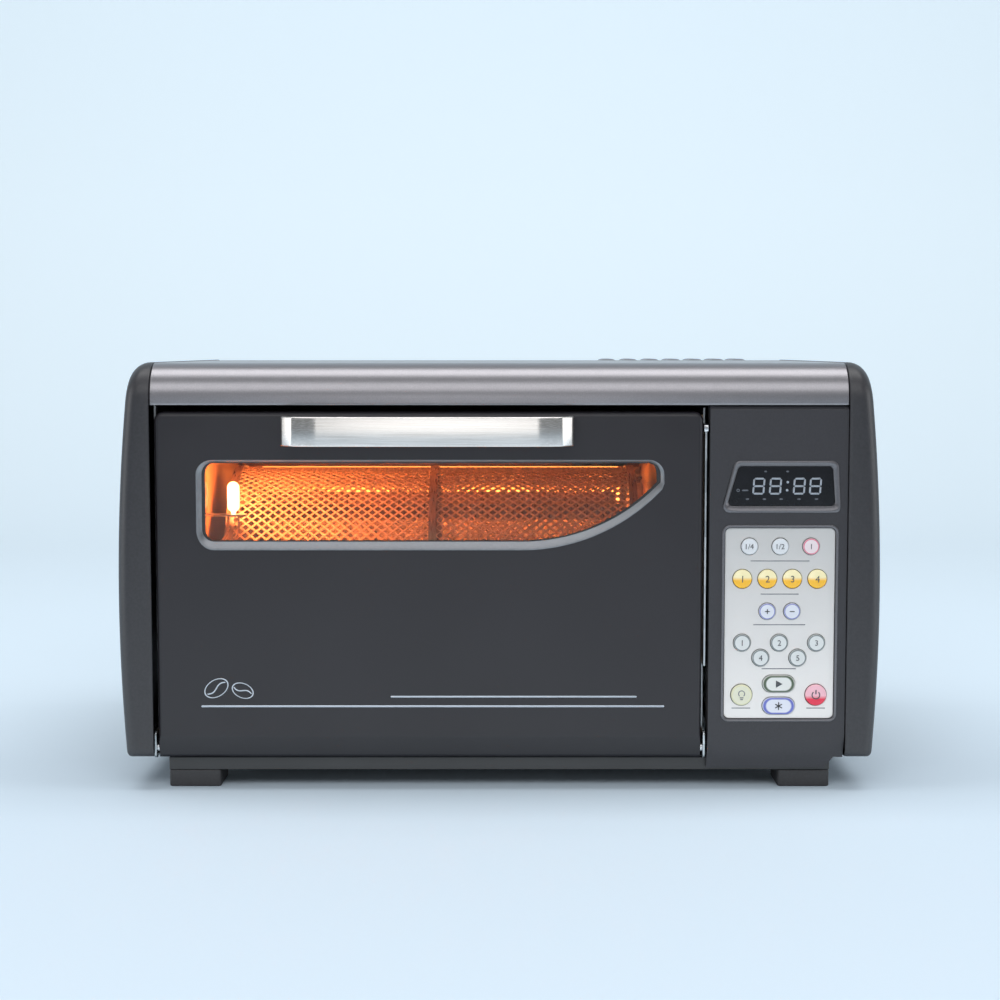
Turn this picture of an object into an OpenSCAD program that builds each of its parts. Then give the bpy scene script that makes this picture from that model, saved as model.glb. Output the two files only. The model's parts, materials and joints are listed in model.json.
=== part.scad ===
// Countertop drum roaster for green coffee beans.
// Lengths are in millimetres. X runs to the right, Y to the rear and Z up.
// The origin is the middle of the overall box, on the surface that the feet stand on.
// The drum and the keys set the size of what is built around them, out to the overall box.

/* [Body] */
// Width of a moulded side panel at its widest
side_w = 20; // [17:0.5:24]
// Wall of the moulded plastic parts
mould_wall = 2.2; // [1.6:0.1:2.8]
// Thickness of the sheet steel
sheet = 1.2; // [0.9:0.1:1.5]
// How far a side panel draws in between its widest point and its shoulder
bulge_in = 6.9; // [5:0.1:8]
// Height of a side panel's widest point above its lower edge
bulge_up = 91; // [75:1:105]
// Radius of a side panel's top shoulder
shoulder_r = 10; // [6:0.5:12]
// Radius of a side panel's upright outer edges
side_edge_r = 8; // [4:0.5:10]
// How far the side panels stand in front of the door
side_proud = 1.5; // [0.5:0.1:3]
// Height of the vents low in the side panels
side_vent_h = 30; // [20:1:40]
// Width of those vents
side_vent_w = 6; // [4:0.5:7]
// Spacing of those vents
side_vent_pitch = 12; // [10:0.5:14]

/* [Base and feet] */
// Height of the feet
foot_h = 10; // [8:0.5:14]
// Width of a foot
foot_w = 30; // [24:1:36]
// Depth of a foot
foot_d = 30; // [24:1:40]
// Height of the base pan
base_h = 7.4; // [6:0.2:9]
// How far the base pan stops short of the side panels' inner faces
base_inset = 7; // [5:0.5:10]
// Setback of the base pan behind the door's face
base_setback = 9.5; // [9:0.5:14]
// Width of the foot flanges that carry the upright plates
flange_w = 14; // [11:0.5:18]

/* [Top cover] */
// Height of the cover's top above the roasting chamber
cover_room = 36; // [33:0.5:42]
// Height of the cover's front band
band_h = 24; // [22:0.5:28]
// Radius of the cover's front edge
cover_r = 20; // [14:0.5:21]
// Depth of the lip under the front band
lip_d = 10; // [8:0.5:14]
// Height of the louvres above the cover
louvre_h = 2; // [1.6:0.1:2.6]
// Length of one louvre
louvre_w = 11; // [8:0.5:12]
// Spacing of the louvres from left to right
louvre_pitch_x = 15; // [14:0.5:18]
// Spacing of the louvres from front to rear
louvre_pitch_y = 15; // [13:0.5:18]
// Louvres in a row
louvre_cols = 7; // [4:1:8]
// Rows of louvres
louvre_rows = 3; // [2:1:3]

/* [Door] */
// Depth of the door from its face to its liner
door_t = 13; // [11:0.5:15]
// Gap between the door and the cover's lip
door_top_gap = 3.7; // [2.5:0.1:5]
// Gap between the door and the uprights beside it
door_side_gap = 1.2; // [0.8:0.1:2]
// Gap between the door and the base pan
door_foot_gap = 1; // [0.8:0.1:2]
// Gap between the door's liner and the chamber's front frame
door_seal_gap = 1.3; // [1:0.1:2]
// Radius of the door's top corners
door_corner_r = 5; // [3:0.5:8]
// Radius of the door's rolled edges
door_edge_r = 3; // [2:0.25:4]
// Height of the door's folded apron
apron_h = 13.6; // [11:0.2:16]
// Setback of the apron's lower edge
apron_in = 6; // [5:0.25:7]
// Height of the hinge pins above the door's lower edge
hinge_up = 5.6; // [5:0.1:6.5]
// Distance of the hinge pins behind the door's face
hinge_in = 6.5; // [6:0.1:7]
// Radius of the hinge pins
hinge_pin_r = 2.5; // [2:0.1:3]
// Radial clearance of a turning pin in its bore
pin_fit = 0.05; // [0.02:0.01:0.09]

/* [Window] */
// Height of the window
window_h = 43; // [38:1:50]
// Distance of the window from the door's left edge
window_left = 26.6; // [18:0.2:32]
// Distance of the window from the door's right edge
window_right = 24.2; // [18:0.2:32]
// Distance of the window from the door's top edge
window_down = 31.3; // [30:0.1:40]
// Radius of the window's corners
window_r = 7; // [4:0.5:9]
// Length of the sweep at the window's lower right
sweep_w = 78.8; // [60:0.2:90]
// How far the sweep has risen at the window's right edge
sweep_rise = 34.1; // [25:0.1:36]
// Width of the pressed bevel around the window
bevel_w = 3.6; // [2.5:0.1:5]
// Thickness of the window glass
glass_t = 4; // [3:0.5:5]

/* [Handle] */
// Length of the handle
handle_w = 164; // [130:1:200]
// Height of the handle's strap
handle_h = 16.5; // [13:0.5:20]
// How far the handle stands off the door
handle_reach = 30; // [24:1:32]
// Thickness of the handle's strap
handle_t = 3; // [2:0.25:4]
// Gap between the door's top edge and the handle
handle_down = 1.8; // [1:0.1:6]

/* [Control column] */
// Gap between the upright beside the door and the fascia
fascia_gap = 1.4; // [0.8:0.1:2]
// Height of the fascia's lower edge above the base pan's
fascia_lift = 2; // [1:0.2:3]
// Height of the keypad plate's lower edge above the fascia's
pad_lift = 30; // [27:0.5:34]
// Distance of the keypad plate from the fascia's left edge
pad_left = 9.15; // [8:0.05:12]
// Distance of the keypad plate from the fascia's right edge
pad_right = 6.65; // [6:0.05:9]
// Distance of the outermost keys from the keypad plate's sides
pad_side = 4; // [3:0.1:5]
// Distance of the top keys from the keypad plate's upper edge
pad_head = 5.8; // [4:0.1:8]
// Distance of the lowest key from the keypad plate's lower edge
pad_foot = 2.4; // [2.2:0.1:4]
// Corner radius of the keypad plate
pad_r = 3; // [2:0.25:4]
// Depth by which the keypad plate is recessed
pad_sink = 0.9; // [0.5:0.1:1.2]
// Thickness of the keypad plate
pad_t = 1.4; // [1:0.1:1.8]
// Height of the display window
display_h = 22.7; // [20:0.1:24]
// Gap between the keypad plate and the display window
display_gap = 12.6; // [10:0.1:15]
// How far the display window's left side leans in at its top
display_slant = 6.5; // [4:0.1:9]
// Width of the recess around the display window
display_rim = 3; // [2:0.1:3.5]

/* [Keys] */
// Radius of the small round keys
key_r = 4.7; // [4:0.1:5]
// Radius of the domed keys
dome_r = 5.4; // [4.5:0.1:5.6]
// Radius of the two round side keys
side_key_r = 6.1; // [5:0.1:6.4]
// Half height of the oval keys
oval_r = 4.9; // [4.2:0.1:5]
// Distance between the end arcs of an oval key
oval_w = 8.8; // [6:0.2:10]
// Gap between an oval key and the round key beside it
side_key_gap = 5.95; // [4.5:0.05:7]
// Gap between the weight keys
weight_gap = 8.2; // [6:0.1:9]
// Gap between the programme keys
program_gap = 3.5; // [2.5:0.1:4]
// Gap between the plus and minus keys
adjust_gap = 4.8; // [3:0.1:7]
// Gap between the profile keys of a row
profile_gap = 11.5; // [10:0.1:13]
// Gap between the two oval keys
oval_gap = 3; // [2.5:0.1:5]
// Height of a row of captions between the keys
caption_h = 8.6; // [7:0.1:10]
// Height of the caption row above the oval keys
low_caption_h = 5.3; // [4:0.1:7]
// Clearance around a key in the plate
key_fit = 0.3; // [0.2:0.05:0.4]
// Overhang of a key's flange behind the plate
key_flange = 0.8; // [0.6:0.1:0.9]
// How far the keys stand out of the plate
key_proud = 1.4; // [0.8:0.1:1.6]
// Travel of a key
key_travel = 0.6; // [0.4:0.1:0.8]

/* [Roasting chamber] */
// Height of the chamber's floor above the base pan
chamber_lift = 19.8; // [17:0.2:24]
// Distance of the chamber's end walls inside the door's side edges
chamber_inset = 20.4; // [18:0.2:25]
// Height of the chaff tray's walls
tray_h = 20; // [14:0.5:22]
// Gap between the chaff tray and the chamber's walls
tray_gap = 5; // [3:0.5:6]
// Distance of the chaff tray behind the chamber's front
tray_front = 12; // [11:0.5:16]

/* [Drum] */
// Radius of the drum's mesh
drum_r = 65; // [58:0.5:72]
// Length of the drum
drum_len = 248; // [220:1:280]
// Thickness of the drum's mesh
mesh_t = 0.8; // [0.6:0.1:1]
// Gap between the drum's ends and the chamber's end walls
drum_end_gap = 12; // [11.5:0.1:14]
// Gap between the drum and the chamber's floor
drum_floor_gap = 12.8; // [11:0.2:16]
// Gap between the drum and the chamber's roof
drum_head_gap = 30; // [26:0.5:36]
// Gap between the drum and the chamber's front
drum_front_gap = 29.5; // [26:0.5:34]
// Radius of the drum's bearing pin
axle_r = 4; // [3:0.25:5]
// Side of the square drive stub
drive_w = 9; // [7:0.5:10]
// Width of the drum's outer bands
hoop_w = 5; // [4:0.5:7]
// Height of the vanes inside the drum
vane_h = 14; // [8:0.5:15]
// Vanes in the drum
vane_count = 4; // [3:1:4]

/* [Heating and light] */
// Radius of the quartz heater tubes
heater_r = 6; // [4:0.5:7]
// Height of the upper heater tube above the drum's axis
heater_rise = 40; // [34:1:46]
// Depth of the lower heater tube below the drum's axis
heater_drop = 30; // [26:1:34]
// Gap between the drum and the guard's upright wires
guard_gap = 6.5; // [5.5:0.1:8]
// Distance of the heater tubes behind the guard
heater_gap = 12; // [11:0.5:14]
// Gap between the heater tubes and the reflector
reflector_gap = 4; // [3.5:0.1:6]
// Space behind the reflector
reflector_room = 12; // [9:0.5:15]
// Radius of the guard's wires
wire_r = 1; // [0.8:0.1:1.3]
// Spacing of the guard's upright wires
wire_pitch = 18; // [14:1:24]
// Radius of the chamber lamp
lamp_r = 8; // [6:0.5:9]
// Length of the chamber lamp's glass
lamp_len = 18; // [14:0.5:20]

/* [Fans and drive] */
// Width of the cooling fan's frame
cool_w = 80; // [70:1:90]
// Depth of the cooling fan's frame
cool_d = 20; // [15:1:25]
// Width of the exhaust fan's frame
exhaust_w = 50; // [44:1:56]
// Height of the exhaust fan's frame
exhaust_h = 15; // [12:1:18]
// Running gap around a fan's blades
blade_gap = 1; // [0.6:0.1:1.4]
// Blades on a fan
blade_count = 7; // [5:1:8]
// Radius of the drive's gearbox
gearbox_r = 28; // [24:1:32]
// Length of the drive's gearbox
gearbox_len = 25; // [20:1:28]
// Radius of the drive's motor
motor_r = 19; // [15:1:22]
// Length of the drive's motor
motor_len = 36; // [30:1:40]
// Radius of the bore of the supply cord's bush
gland_r = 4; // [3:0.25:5]

/* [Hidden] */
$fn = 64;
eps = 0.01;
face_fit = 0.1; // clearance between parts that seat in each other
cover_fit = 0.3; // clearance between the cover or a panel and the side panels
arc_steps = 8;

// Keypad, worked out from its keys
side_key_pitch = oval_w + 2 * (oval_r + side_key_gap + side_key_r);
weight_pitch = 2 * key_r + weight_gap;
program_pitch = 2 * dome_r + program_gap;
adjust_pitch = 2 * key_r + adjust_gap;
profile_pitch = 2 * oval_r + profile_gap;
profile_rise = 3.8 + oval_r; // from the lower to the upper row of profile keys
pad_w = side_key_pitch + 2 * (side_key_r + pad_side);
pad_z = foot_h + fascia_lift + pad_lift;
cool_z = pad_z + pad_foot + oval_r;
start_z = cool_z + 2 * oval_r + oval_gap;
side_key_z = (cool_z + start_z) / 2;
low_profile_z = start_z + 2 * oval_r + low_caption_h;
profile_z = low_profile_z + profile_rise;
adjust_z = profile_z + oval_r + caption_h + key_r;
program_z = adjust_z + key_r + caption_h + dome_r;
weight_z = program_z + dome_r + caption_h + key_r;
pad_z1 = weight_z + key_r + pad_head;

// Overall box, worked out from what it holds
chamber_w = drum_len + 2 * drum_end_gap;
chamber_d = drum_front_gap + 2 * drum_r + guard_gap + heater_gap + heater_r + reflector_gap
  + reflector_room;
chamber_h = drum_floor_gap + 2 * drum_r + drum_head_gap;
door_w = chamber_w + 2 * chamber_inset;
fascia_w = pad_left + pad_w + pad_right;
column_w = sheet + fascia_gap + fascia_w + cover_fit;
burner_front = 5.3; // from the chamber's back to the exhaust fan
burner_rear = 7.8; // from the exhaust fan to the rear panel
rear_room = sheet + burner_front + exhaust_w + burner_rear;
body_w = 2 * side_w + sheet + 2 * door_side_gap + door_w + column_w;
body_d = handle_reach + door_t + door_seal_gap + sheet + chamber_d + rear_room + sheet;
body_h = foot_h + base_h + chamber_lift + chamber_h + cover_room + louvre_h;

// Body
side_x = body_w / 2 - side_w; // inner face of a side panel
front_y = handle_reach - body_d / 2; // face of the door
rear_y = body_d / 2;
back_y = rear_y - sheet; // inner face of the rear panel
base_top = foot_h + base_h;
cover_top = body_h - louvre_h;
cover_z = cover_top - band_h; // lower edge of the cover's band
under_cover = cover_top - sheet;
base_x = side_x - base_inset;
base_y = front_y + base_setback;
base_rear = back_y - 2;
base_vent_w = 60;
base_vent_slot = 6;
base_vent_pitch = 12;
side_z = base_top + 1.6;
bulge_z = side_z + bulge_up;
bulge_h = body_h - shoulder_r - bulge_z;
bulge_r = (bulge_h * bulge_h + bulge_in * bulge_in) / (2 * bulge_in);
side_vent_y = 20; // the foremost vent of a side panel
side_vent_up = 14; // from a side panel's lower edge to its vents
side_rear_gap = 0.5;
cover_flange_h = 12;

// Door
divider_x = side_x - column_w; // left face of the upright beside the door
divider_right = divider_x + sheet;
door_x0 = -side_x + sheet + door_side_gap;
door_x1 = door_x0 + door_w;
door_mid = (door_x0 + door_x1) / 2;
door_z0 = base_top + door_foot_gap;
door_z1 = cover_z - door_top_gap;
hinge_y = front_y + hinge_in;
hinge_z = door_z0 + hinge_up;
door_sill = 4; // how far the door's lower fold reaches behind its pins
liner_y = front_y + door_t - sheet;
liner_z = door_z0 + apron_h + 2;
window_x = door_x0 + window_left;
window_w = door_w - window_left - window_right;
window_z1 = door_z1 - window_down;
window_z0 = window_z1 - window_h;
sweep_r = (sweep_w * sweep_w + sweep_rise * sweep_rise) / (2 * sweep_rise);
glass_y = front_y + 2 * sheet;
glass_lap = 4.5; // how far the glass reaches past the window
bevel_lap = 6; // outer reach of the pressed step that the glass lies on
handle_z0 = door_z1 - handle_down - handle_h;
handle_cut = 7; // width and depth of the angled ends of the handle
handle_ease = 12; // width of the slight bend before them
ear_h = 16; // height of the ears that hold the hinge pins
ear_front = 5; // how far an ear reaches in front of a pin
strip_up = 40; // from the apron's fold to the upright's bright front strip
strip_in = 3; // setback of that strip behind the door's face

// Chamber
frame_y = front_y + door_t + door_seal_gap;
chamber_y0 = frame_y + sheet;
chamber_y1 = chamber_y0 + chamber_d;
chamber_x0 = door_x0 + chamber_inset;
chamber_x1 = chamber_x0 + chamber_w;
chamber_z0 = base_top + chamber_lift;
chamber_z1 = chamber_z0 + chamber_h;
frame_z0 = door_z0 + 12;
frame_z1 = door_z1 - 2;
drum_y = chamber_y0 + drum_front_gap + drum_r;
drum_z = chamber_z0 + drum_floor_gap + drum_r;
drum_x0 = chamber_x0 + drum_end_gap;
drum_x1 = chamber_x1 - drum_end_gap;
tray_back = 4; // gap between the chaff tray and the guard
tray_floor_gap = 0.3;
tray_lip_w = 60;
tray_lip_h = 7; // height of the tray's finger lip above its walls
mesh_in = drum_r - mesh_t; // radius inside the mesh
hoop_t = 1.2;
end_t = 1.2;
pin_gap = 1.2; // between the bearing pin's end and the chamber's wall
wall_gap = 0.3; // between the guard or reflector and the walls they seat on
cradle_t = 7;
cradle_w = 18;
cradle_up = 8;
cradle_down = 30;
hatch_t = 1;
hatch_gap = 0.3;
hatch_axis = -16; // hinge line of the hatch, from the drum's axis
hatch_edge = 7.5; // how far the hatch stops short of the mesh, which clears the tray
hatch_pin_r = 1;
hatch_sleeve_r = 2;
hatch_axis_x = drum_x0 - hatch_gap - hatch_sleeve_r;
hatch_span = 40; // length of the hatch's hinge

// Drive
coupler_r = 10;
coupler_gap = 2.7; // between the coupler and the drum's end
coupler_out = 8; // how far the coupler reaches behind the end wall
coupler_x0 = drum_x1 + coupler_gap;
coupler_x1 = chamber_x1 + sheet + coupler_out;
socket_fit = 0.15;
socket_d = 7.5;
shaft_r = axle_r;
shaft_in = 10; // how deep the shaft runs in the gearbox

// Heating and light
guard_y = drum_y + drum_r + guard_gap;
heater_y = guard_y + heater_gap;
heater_zs = [drum_z + heater_rise, drum_z - heater_drop];
cap_len = 15;
cap_lap = 5; // how far a heater tube sits in its cap
cap_r = heater_r + 3;
reflector_y = heater_y + heater_r + reflector_gap;
reflector_t = 0.8;
trough_h = 12; // half height of the trough behind a heater tube
reflector_ridge = 5; // how far the reflector comes forward between the tubes
reflector_lip = 8; // how far its upper and lower edges come forward
guard_over = 16; // how far the guard reaches past the heater tubes
guard_top = drum_z + heater_rise + guard_over;
guard_foot = drum_z - heater_drop - guard_over;
lamp_y = chamber_y0 + 30;
lamp_z = drum_z + 52.6;
holder_r = lamp_r + 3;
holder_len = 12;

// Air and supply
fan_x = -side_x / 2;
fan_z = drum_z + 10;
exhaust_x = divider_right + fascia_gap;
exhaust_y = chamber_y1 + sheet + burner_front + exhaust_w / 2;
vent_w = 38;
vent_rows = 5;
vent_pitch = 8;
vent_slot = 4;
vent_h = (vent_rows - 1) * vent_pitch + vent_slot;
vent_x1 = chamber_x1 - 8;
vent_x0 = vent_x1 - vent_w;
vent_z0 = chamber_z1 - 18 - vent_h;
burner_x0 = vent_x0 - 5;
burner_x1 = exhaust_x + exhaust_w / 2;
burner_y1 = exhaust_y + exhaust_w / 2;
burner_z0 = vent_z0 - 10;
burner_z1 = vent_z0 + vent_h + 8;
coil_pitch = 12;
coil_r = 2.5;
hub_share = 0.3; // width of a fan's hub as a share of its frame
grille_pitch = 9;
rear_vent_x = side_x - 70;
rear_vent_z = base_top + 60;
rear_vent_h = 50;
rear_vent_w = 3;
rear_vent_pitch = 6;
gland_wall = 2.5;
gland_x = side_x - 40;
gland_z = base_top + 22;

// Control column
fascia_z = foot_h + fascia_lift;
fascia_x0 = divider_right + fascia_gap;
fascia_x1 = fascia_x0 + fascia_w;
fascia_z1 = cover_z - 0.4;
fascia_step = 6.4; // height of the fascia's lowest fold
fascia_skin_y = front_y + mould_wall;
pad_x0 = fascia_x0 + pad_left;
pad_x1 = pad_x0 + pad_w;
column_mid = (pad_x0 + pad_x1) / 2;
pad_y = front_y + pad_sink;
pad_back = pad_y + pad_t;
pad_ledge = 1; // width of the ledge that the plate rests on
ledge_t = 1.5;
display_z = pad_z1 + display_gap;
display_x0 = pad_x0 + 0.9;
display_x1 = pad_x1 - 0.3;
display_lean = 1.7; // how far its right side leans in at the top
display_sink = 1; // depth of the recess around the display
lens_t = 2;
board_y = front_y + 11.5;
board_t = 1.6;
board_under = 8; // how far the control board reaches below the keypad
board_over = 12.3; // how far it reaches above the display
switch_gap = 0.1; // left between a pressed key and its switch
switch_r = 2.5;
stem_r = 1.5;
stem_end = pad_back + 4.1;

// Power board
power_y0 = 10;
power_y1 = 100;
power_up = 7;
power_edge = 5;
transformer = [36, 36, 35];
capacitor_r = 8;
capacitor_h = 27;
relay = [20, 16, 16];

// Each key: name, place across, height, radius, straight width and colour
plain_key = "#dfe1e3";
KEYS = [
  for (i = [0:2]) [str("key_weight_", i + 1), (i - 1) * weight_pitch, weight_z, key_r, 0, plain_key],
  for (i = [0:3])
    [str("key_program_", i + 1), (i - 1.5) * program_pitch, program_z, dome_r, 0, "#f2b01e"],
  ["key_minus", adjust_pitch / 2, adjust_z, key_r, 0, plain_key],
  ["key_plus", -adjust_pitch / 2, adjust_z, key_r, 0, plain_key],
  for (i = [0:2])
    [str("key_profile_", i + 1), (i - 1) * profile_pitch, profile_z, oval_r, 0, plain_key],
  for (i = [0:1])
    [str("key_profile_", i + 4), (i - 0.5) * profile_pitch, low_profile_z, oval_r, 0, plain_key],
  ["key_start", 0, start_z, oval_r, oval_w, plain_key],
  ["key_cool", 0, cool_z, oval_r, oval_w, plain_key],
  ["key_light", -side_key_pitch / 2, side_key_z, side_key_r, 0, "#f2f0c8"],
  ["key_power", side_key_pitch / 2, side_key_z, side_key_r, 0, "#e23b57"],
];

// ---- Helpers ----

// Points of an arc from angle a0 to a1
function arc(c, r, a0, a1, n = arc_steps) =
  [for (i = [0:n]) c + r * [cos(a0 + (a1 - a0) * i / n), sin(a0 + (a1 - a0) * i / n)]];

function unit(v) = v / norm(v);

// One corner p of an outline between its neighbours a and b, rounded to radius r
function round_corner(p, a, b, r) = r == 0 ? [p] :
  let (
    u = unit(a - p),
    v = unit(b - p),
    half = acos(u * v) / 2,
    c = p + unit(u + v) * r / sin(half),
    s = p + u * r / tan(half) - c,
    e = p + v * r / tan(half) - c,
    a0 = atan2(s.y, s.x),
    turn = (atan2(e.y, e.x) - a0 + 540) % 360 - 180
  )
  arc(c, r, a0, a0 + turn);

// An outline with its corners rounded, to one radius or to a radius each
function rounded(points, r) =
  let (m = len(points))
  [for (i = [0:m - 1])
    each round_corner(points[i], points[(i + m - 1) % m], points[(i + 1) % m],
      is_list(r) ? r[i] : r)];

function box_points(x0, y0, x1, y1) = [[x0, y0], [x1, y0], [x1, y1], [x0, y1]];

// A rectangle between two corners with true arcs at its corners
module round_box(x0, y0, x1, y1, r) {
  translate([x0 + r, y0]) square([x1 - x0 - 2 * r, y1 - y0]);
  translate([x0, y0 + r]) square([x1 - x0, y1 - y0 - 2 * r]);
  for (x = [x0 + r, x1 - r], y = [y0 + r, y1 - r]) translate([x, y]) circle(r);
}

// Extrude a drawing of (y, z) from x0 to x1
module along_x(x0, x1) {
  translate([x0, 0, 0]) rotate([90, 0, 90]) linear_extrude(x1 - x0) children();
}

// Extrude a drawing of (x, z) from y0 to y1
module along_y(y0, y1) {
  translate([0, y1, 0]) rotate([90, 0, 0]) linear_extrude(y1 - y0) children();
}

// Extrude a drawing of (x, y) from z0 to z1
module along_z(z0, z1) {
  translate([0, 0, z0]) linear_extrude(z1 - z0) children();
}

// A box between two corners
module block(low, high) {
  translate(low) cube(high - low);
}

// A round bar along X
module bar_x(x0, x1, y, z, r) {
  translate([x0, y, z]) rotate([0, 90, 0]) cylinder(h = x1 - x0, r = r);
}

// A round bar along Y
module bar_y(y0, y1, x, z, r) {
  translate([x, y1, z]) rotate([90, 0, 0]) cylinder(h = y1 - y0, r = r);
}

// A round bar along Z
module bar_z(z0, z1, x, y, r) {
  translate([x, y, z0]) cylinder(h = z1 - z0, r = r);
}

// ---- Base and casing ----

module base_pan() color("#1d1e21") difference() {
  block([-base_x, base_y, foot_h], [base_x, base_rear, base_top]);
  block([-base_x + sheet, base_y + sheet, foot_h - 1],
    [base_x - sheet, base_rear - sheet, base_top - sheet]);
  for (i = [-4:4], side = [-1, 1])
    translate([side * base_x / 2, (base_y + base_rear) / 2 + i * base_vent_pitch, base_top])
      cube([base_vent_w, base_vent_slot, 2 * sheet + 2], center = true);
}

module feet() color("#17181a")
  for (side = [-1, 1], y = [base_y, base_rear - foot_d])
    along_z(0, foot_h)
      round_box(side * (base_x - foot_w / 2) - foot_w / 2, y,
        side * (base_x - foot_w / 2) + foot_w / 2, y + foot_d, 2);

// Steel plate inside one side panel, with the foot flange that it is fixed by
module side_plate() {
  along_x(side_x - sheet, side_x)
    polygon(rounded(box_points(frame_y, base_top, back_y - sheet, under_cover), [0, 0, 4, 8]));
  block([side_x - flange_w, frame_y + 1, base_top],
    [side_x - eps, back_y - 3, base_top + sheet]);
}

// Ear in front of an upright, bored for a door hinge pin
module hinge_ear(x0) difference() {
  along_x(x0, x0 + sheet)
    polygon(rounded(box_points(hinge_y - ear_front, hinge_z - hinge_up,
      frame_y + 1, hinge_z - hinge_up + ear_h), [3, 0, 0, 3]));
  bar_x(x0 - 1, x0 + sheet + 1, hinge_y, hinge_z, hinge_pin_r + pin_fit);
}

module side_plates() color("#8c9095") {
  side_plate();
  mirror([1, 0, 0]) side_plate();
  hinge_ear(-side_x);
}

module divider_plate() color("#a8abae") difference() {
  union() {
    block([divider_x, frame_y, base_top], [divider_right, chamber_y1, frame_z1 + 4]);
    block([divider_x, frame_y + 1, base_top],
      [divider_x + flange_w, chamber_y1 - 2, base_top + sheet]);
    block([divider_x, front_y + strip_in, door_z0 + apron_h + strip_up],
      [divider_right, frame_y + 1, frame_z1 - 8]);
    hinge_ear(divider_x);
  }
  bar_x(divider_x - 1, divider_right + 1, drum_y, drum_z, shaft_r + 2);
}

// Outline of the cover from the side, set in by i
function cover_side(i) = concat(
  [[back_y - i, cover_z + i], [front_y + i, cover_z + i]],
  arc([front_y + cover_r, cover_top - cover_r], cover_r - i, 180, 90),
  arc([back_y - 5, cover_top - 5], 5 - i, 90, 0));

module louvre_hood() {
  along_x(-louvre_w / 2, louvre_w / 2) difference() {
    polygon([[-3.5, -eps], [-1.5, louvre_h], [3.5, louvre_h], [3.5, -eps]]);
    polygon([[-2.4, -1], [-1, louvre_h - 0.7], [4, louvre_h - 0.7], [4, -1]]);
  }
}

function louvre_places() =
  [for (i = [0:louvre_cols - 1], j = [0:louvre_rows - 1])
    [exhaust_x + (i - (louvre_cols - 1) / 2) * louvre_pitch_x,
     exhaust_y + (j - (louvre_rows - 1) / 2) * louvre_pitch_y]];

module top_cover() color("#3a3b40") {
  difference() {
    along_x(-side_x + cover_fit, side_x - cover_fit) difference() {
      polygon(cover_side(0));
      polygon(cover_side(sheet));
      polygon(box_points(front_y + lip_d, cover_z - 1, back_y + 1, under_cover - cover_flange_h));
    }
    for (p = louvre_places())
      block([p.x - louvre_w / 2 + 1, p.y - 1.5, under_cover - 1],
        [p.x + louvre_w / 2 - 1, p.y + 3, cover_top + 1]);
  }
  for (p = louvre_places()) translate([p.x, p.y, cover_top]) louvre_hood();
  for (side = [-1, 1])
    block([side * (side_x - 1.5 * sheet) - sheet / 2, frame_y + 3, under_cover - cover_flange_h],
      [side * (side_x - 1.5 * sheet) + sheet / 2, back_y - 8, cover_top - sheet / 2]);
}

// Half width of the body at height z, over the side panels' outward curve
function bulge_x(z) = body_w / 2 - bulge_r + sqrt(bulge_r * bulge_r - (z - bulge_z) * (z - bulge_z));

// The right side panel's outlines from the front, the side and above, set in by i
function side_front(i) =
  let (
    inner = side_x - (i > 0 ? 1 : 0),
    corner_x = bulge_x(body_h - shoulder_r) - shoulder_r
  )
  concat([[inner, side_z + i]],
    [for (k = [0:5]) let (z = side_z + i + (bulge_z - side_z - i) * k / 5) [bulge_x(z) - i, z]],
    [for (k = [1:6]) let (z = bulge_z + (body_h - shoulder_r - bulge_z) * k / 6) [bulge_x(z) - i, z]],
    arc([corner_x, body_h - shoulder_r], shoulder_r - i, 5, 90),
    [[inner, body_h - i]]);

function side_profile(i) = rounded(
  box_points(front_y - side_proud + i, side_z + i, rear_y - side_rear_gap - i, body_h - i),
  [6 - i, 6 - i, 10 - i, cover_r + side_proud - i]);

function side_plan(i) = rounded(
  box_points(side_x - 2, front_y - side_proud + i, body_w / 2 + 1 - i, rear_y - side_rear_gap - i),
  [0, side_edge_r + 1, side_edge_r - 1, 0]);

module side_solid(i) intersection() {
  along_y(front_y - side_proud - 1, rear_y + 1) polygon(side_front(i));
  along_x(side_x - 3, body_w / 2 + 2) polygon(side_profile(i));
  along_z(0, body_h + 1) polygon(side_plan(i));
}

module side_panel() difference() {
  side_solid(0);
  side_solid(mould_wall);
  for (i = [0:7])
    block([side_x + mould_wall, side_vent_y + i * side_vent_pitch, side_z + side_vent_up],
      [body_w / 2 + 1, side_vent_y + i * side_vent_pitch + side_vent_w,
       side_z + side_vent_up + side_vent_h]);
}

module side_panel_right() color("#26272a") side_panel();

module side_panel_left() color("#26272a") mirror([1, 0, 0]) side_panel();

module rear_panel() color("#2b2c30") difference() {
  block([-side_x + cover_fit, back_y, base_top], [side_x - cover_fit, rear_y, under_cover]);
  for (i = [-3:3])
    along_y(back_y - 1, rear_y + 1)
      round_box(fan_x - fan_half(i), fan_z - 2 + i * grille_pitch,
        fan_x + fan_half(i), fan_z + 2 + i * grille_pitch, 1.8);
  for (i = [0:9])
    along_y(back_y - 1, rear_y + 1) translate([rear_vent_x + i * rear_vent_pitch, rear_vent_z])
      round_box(0, 0, rear_vent_w, rear_vent_h, rear_vent_w / 2 - 0.1);
  bar_y(back_y - 1, rear_y + 1, gland_x, gland_z, gland_r + gland_wall);
}

// Half length of the cooling grille's slot number i
function fan_half(i) = sqrt(pow(cool_w / 2 - 4, 2) - pow(grille_pitch * i, 2));

module cord_gland() color("#1a1a1c") difference() {
  union() {
    bar_y(back_y - 8, rear_y - eps, gland_x, gland_z, gland_r + gland_wall);
    bar_y(back_y - 3, back_y, gland_x, gland_z, gland_r + gland_wall + 2.5);
  }
  bar_y(back_y - 9, rear_y + 1, gland_x, gland_z, gland_r);
}

// ---- Roasting chamber ----

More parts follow.
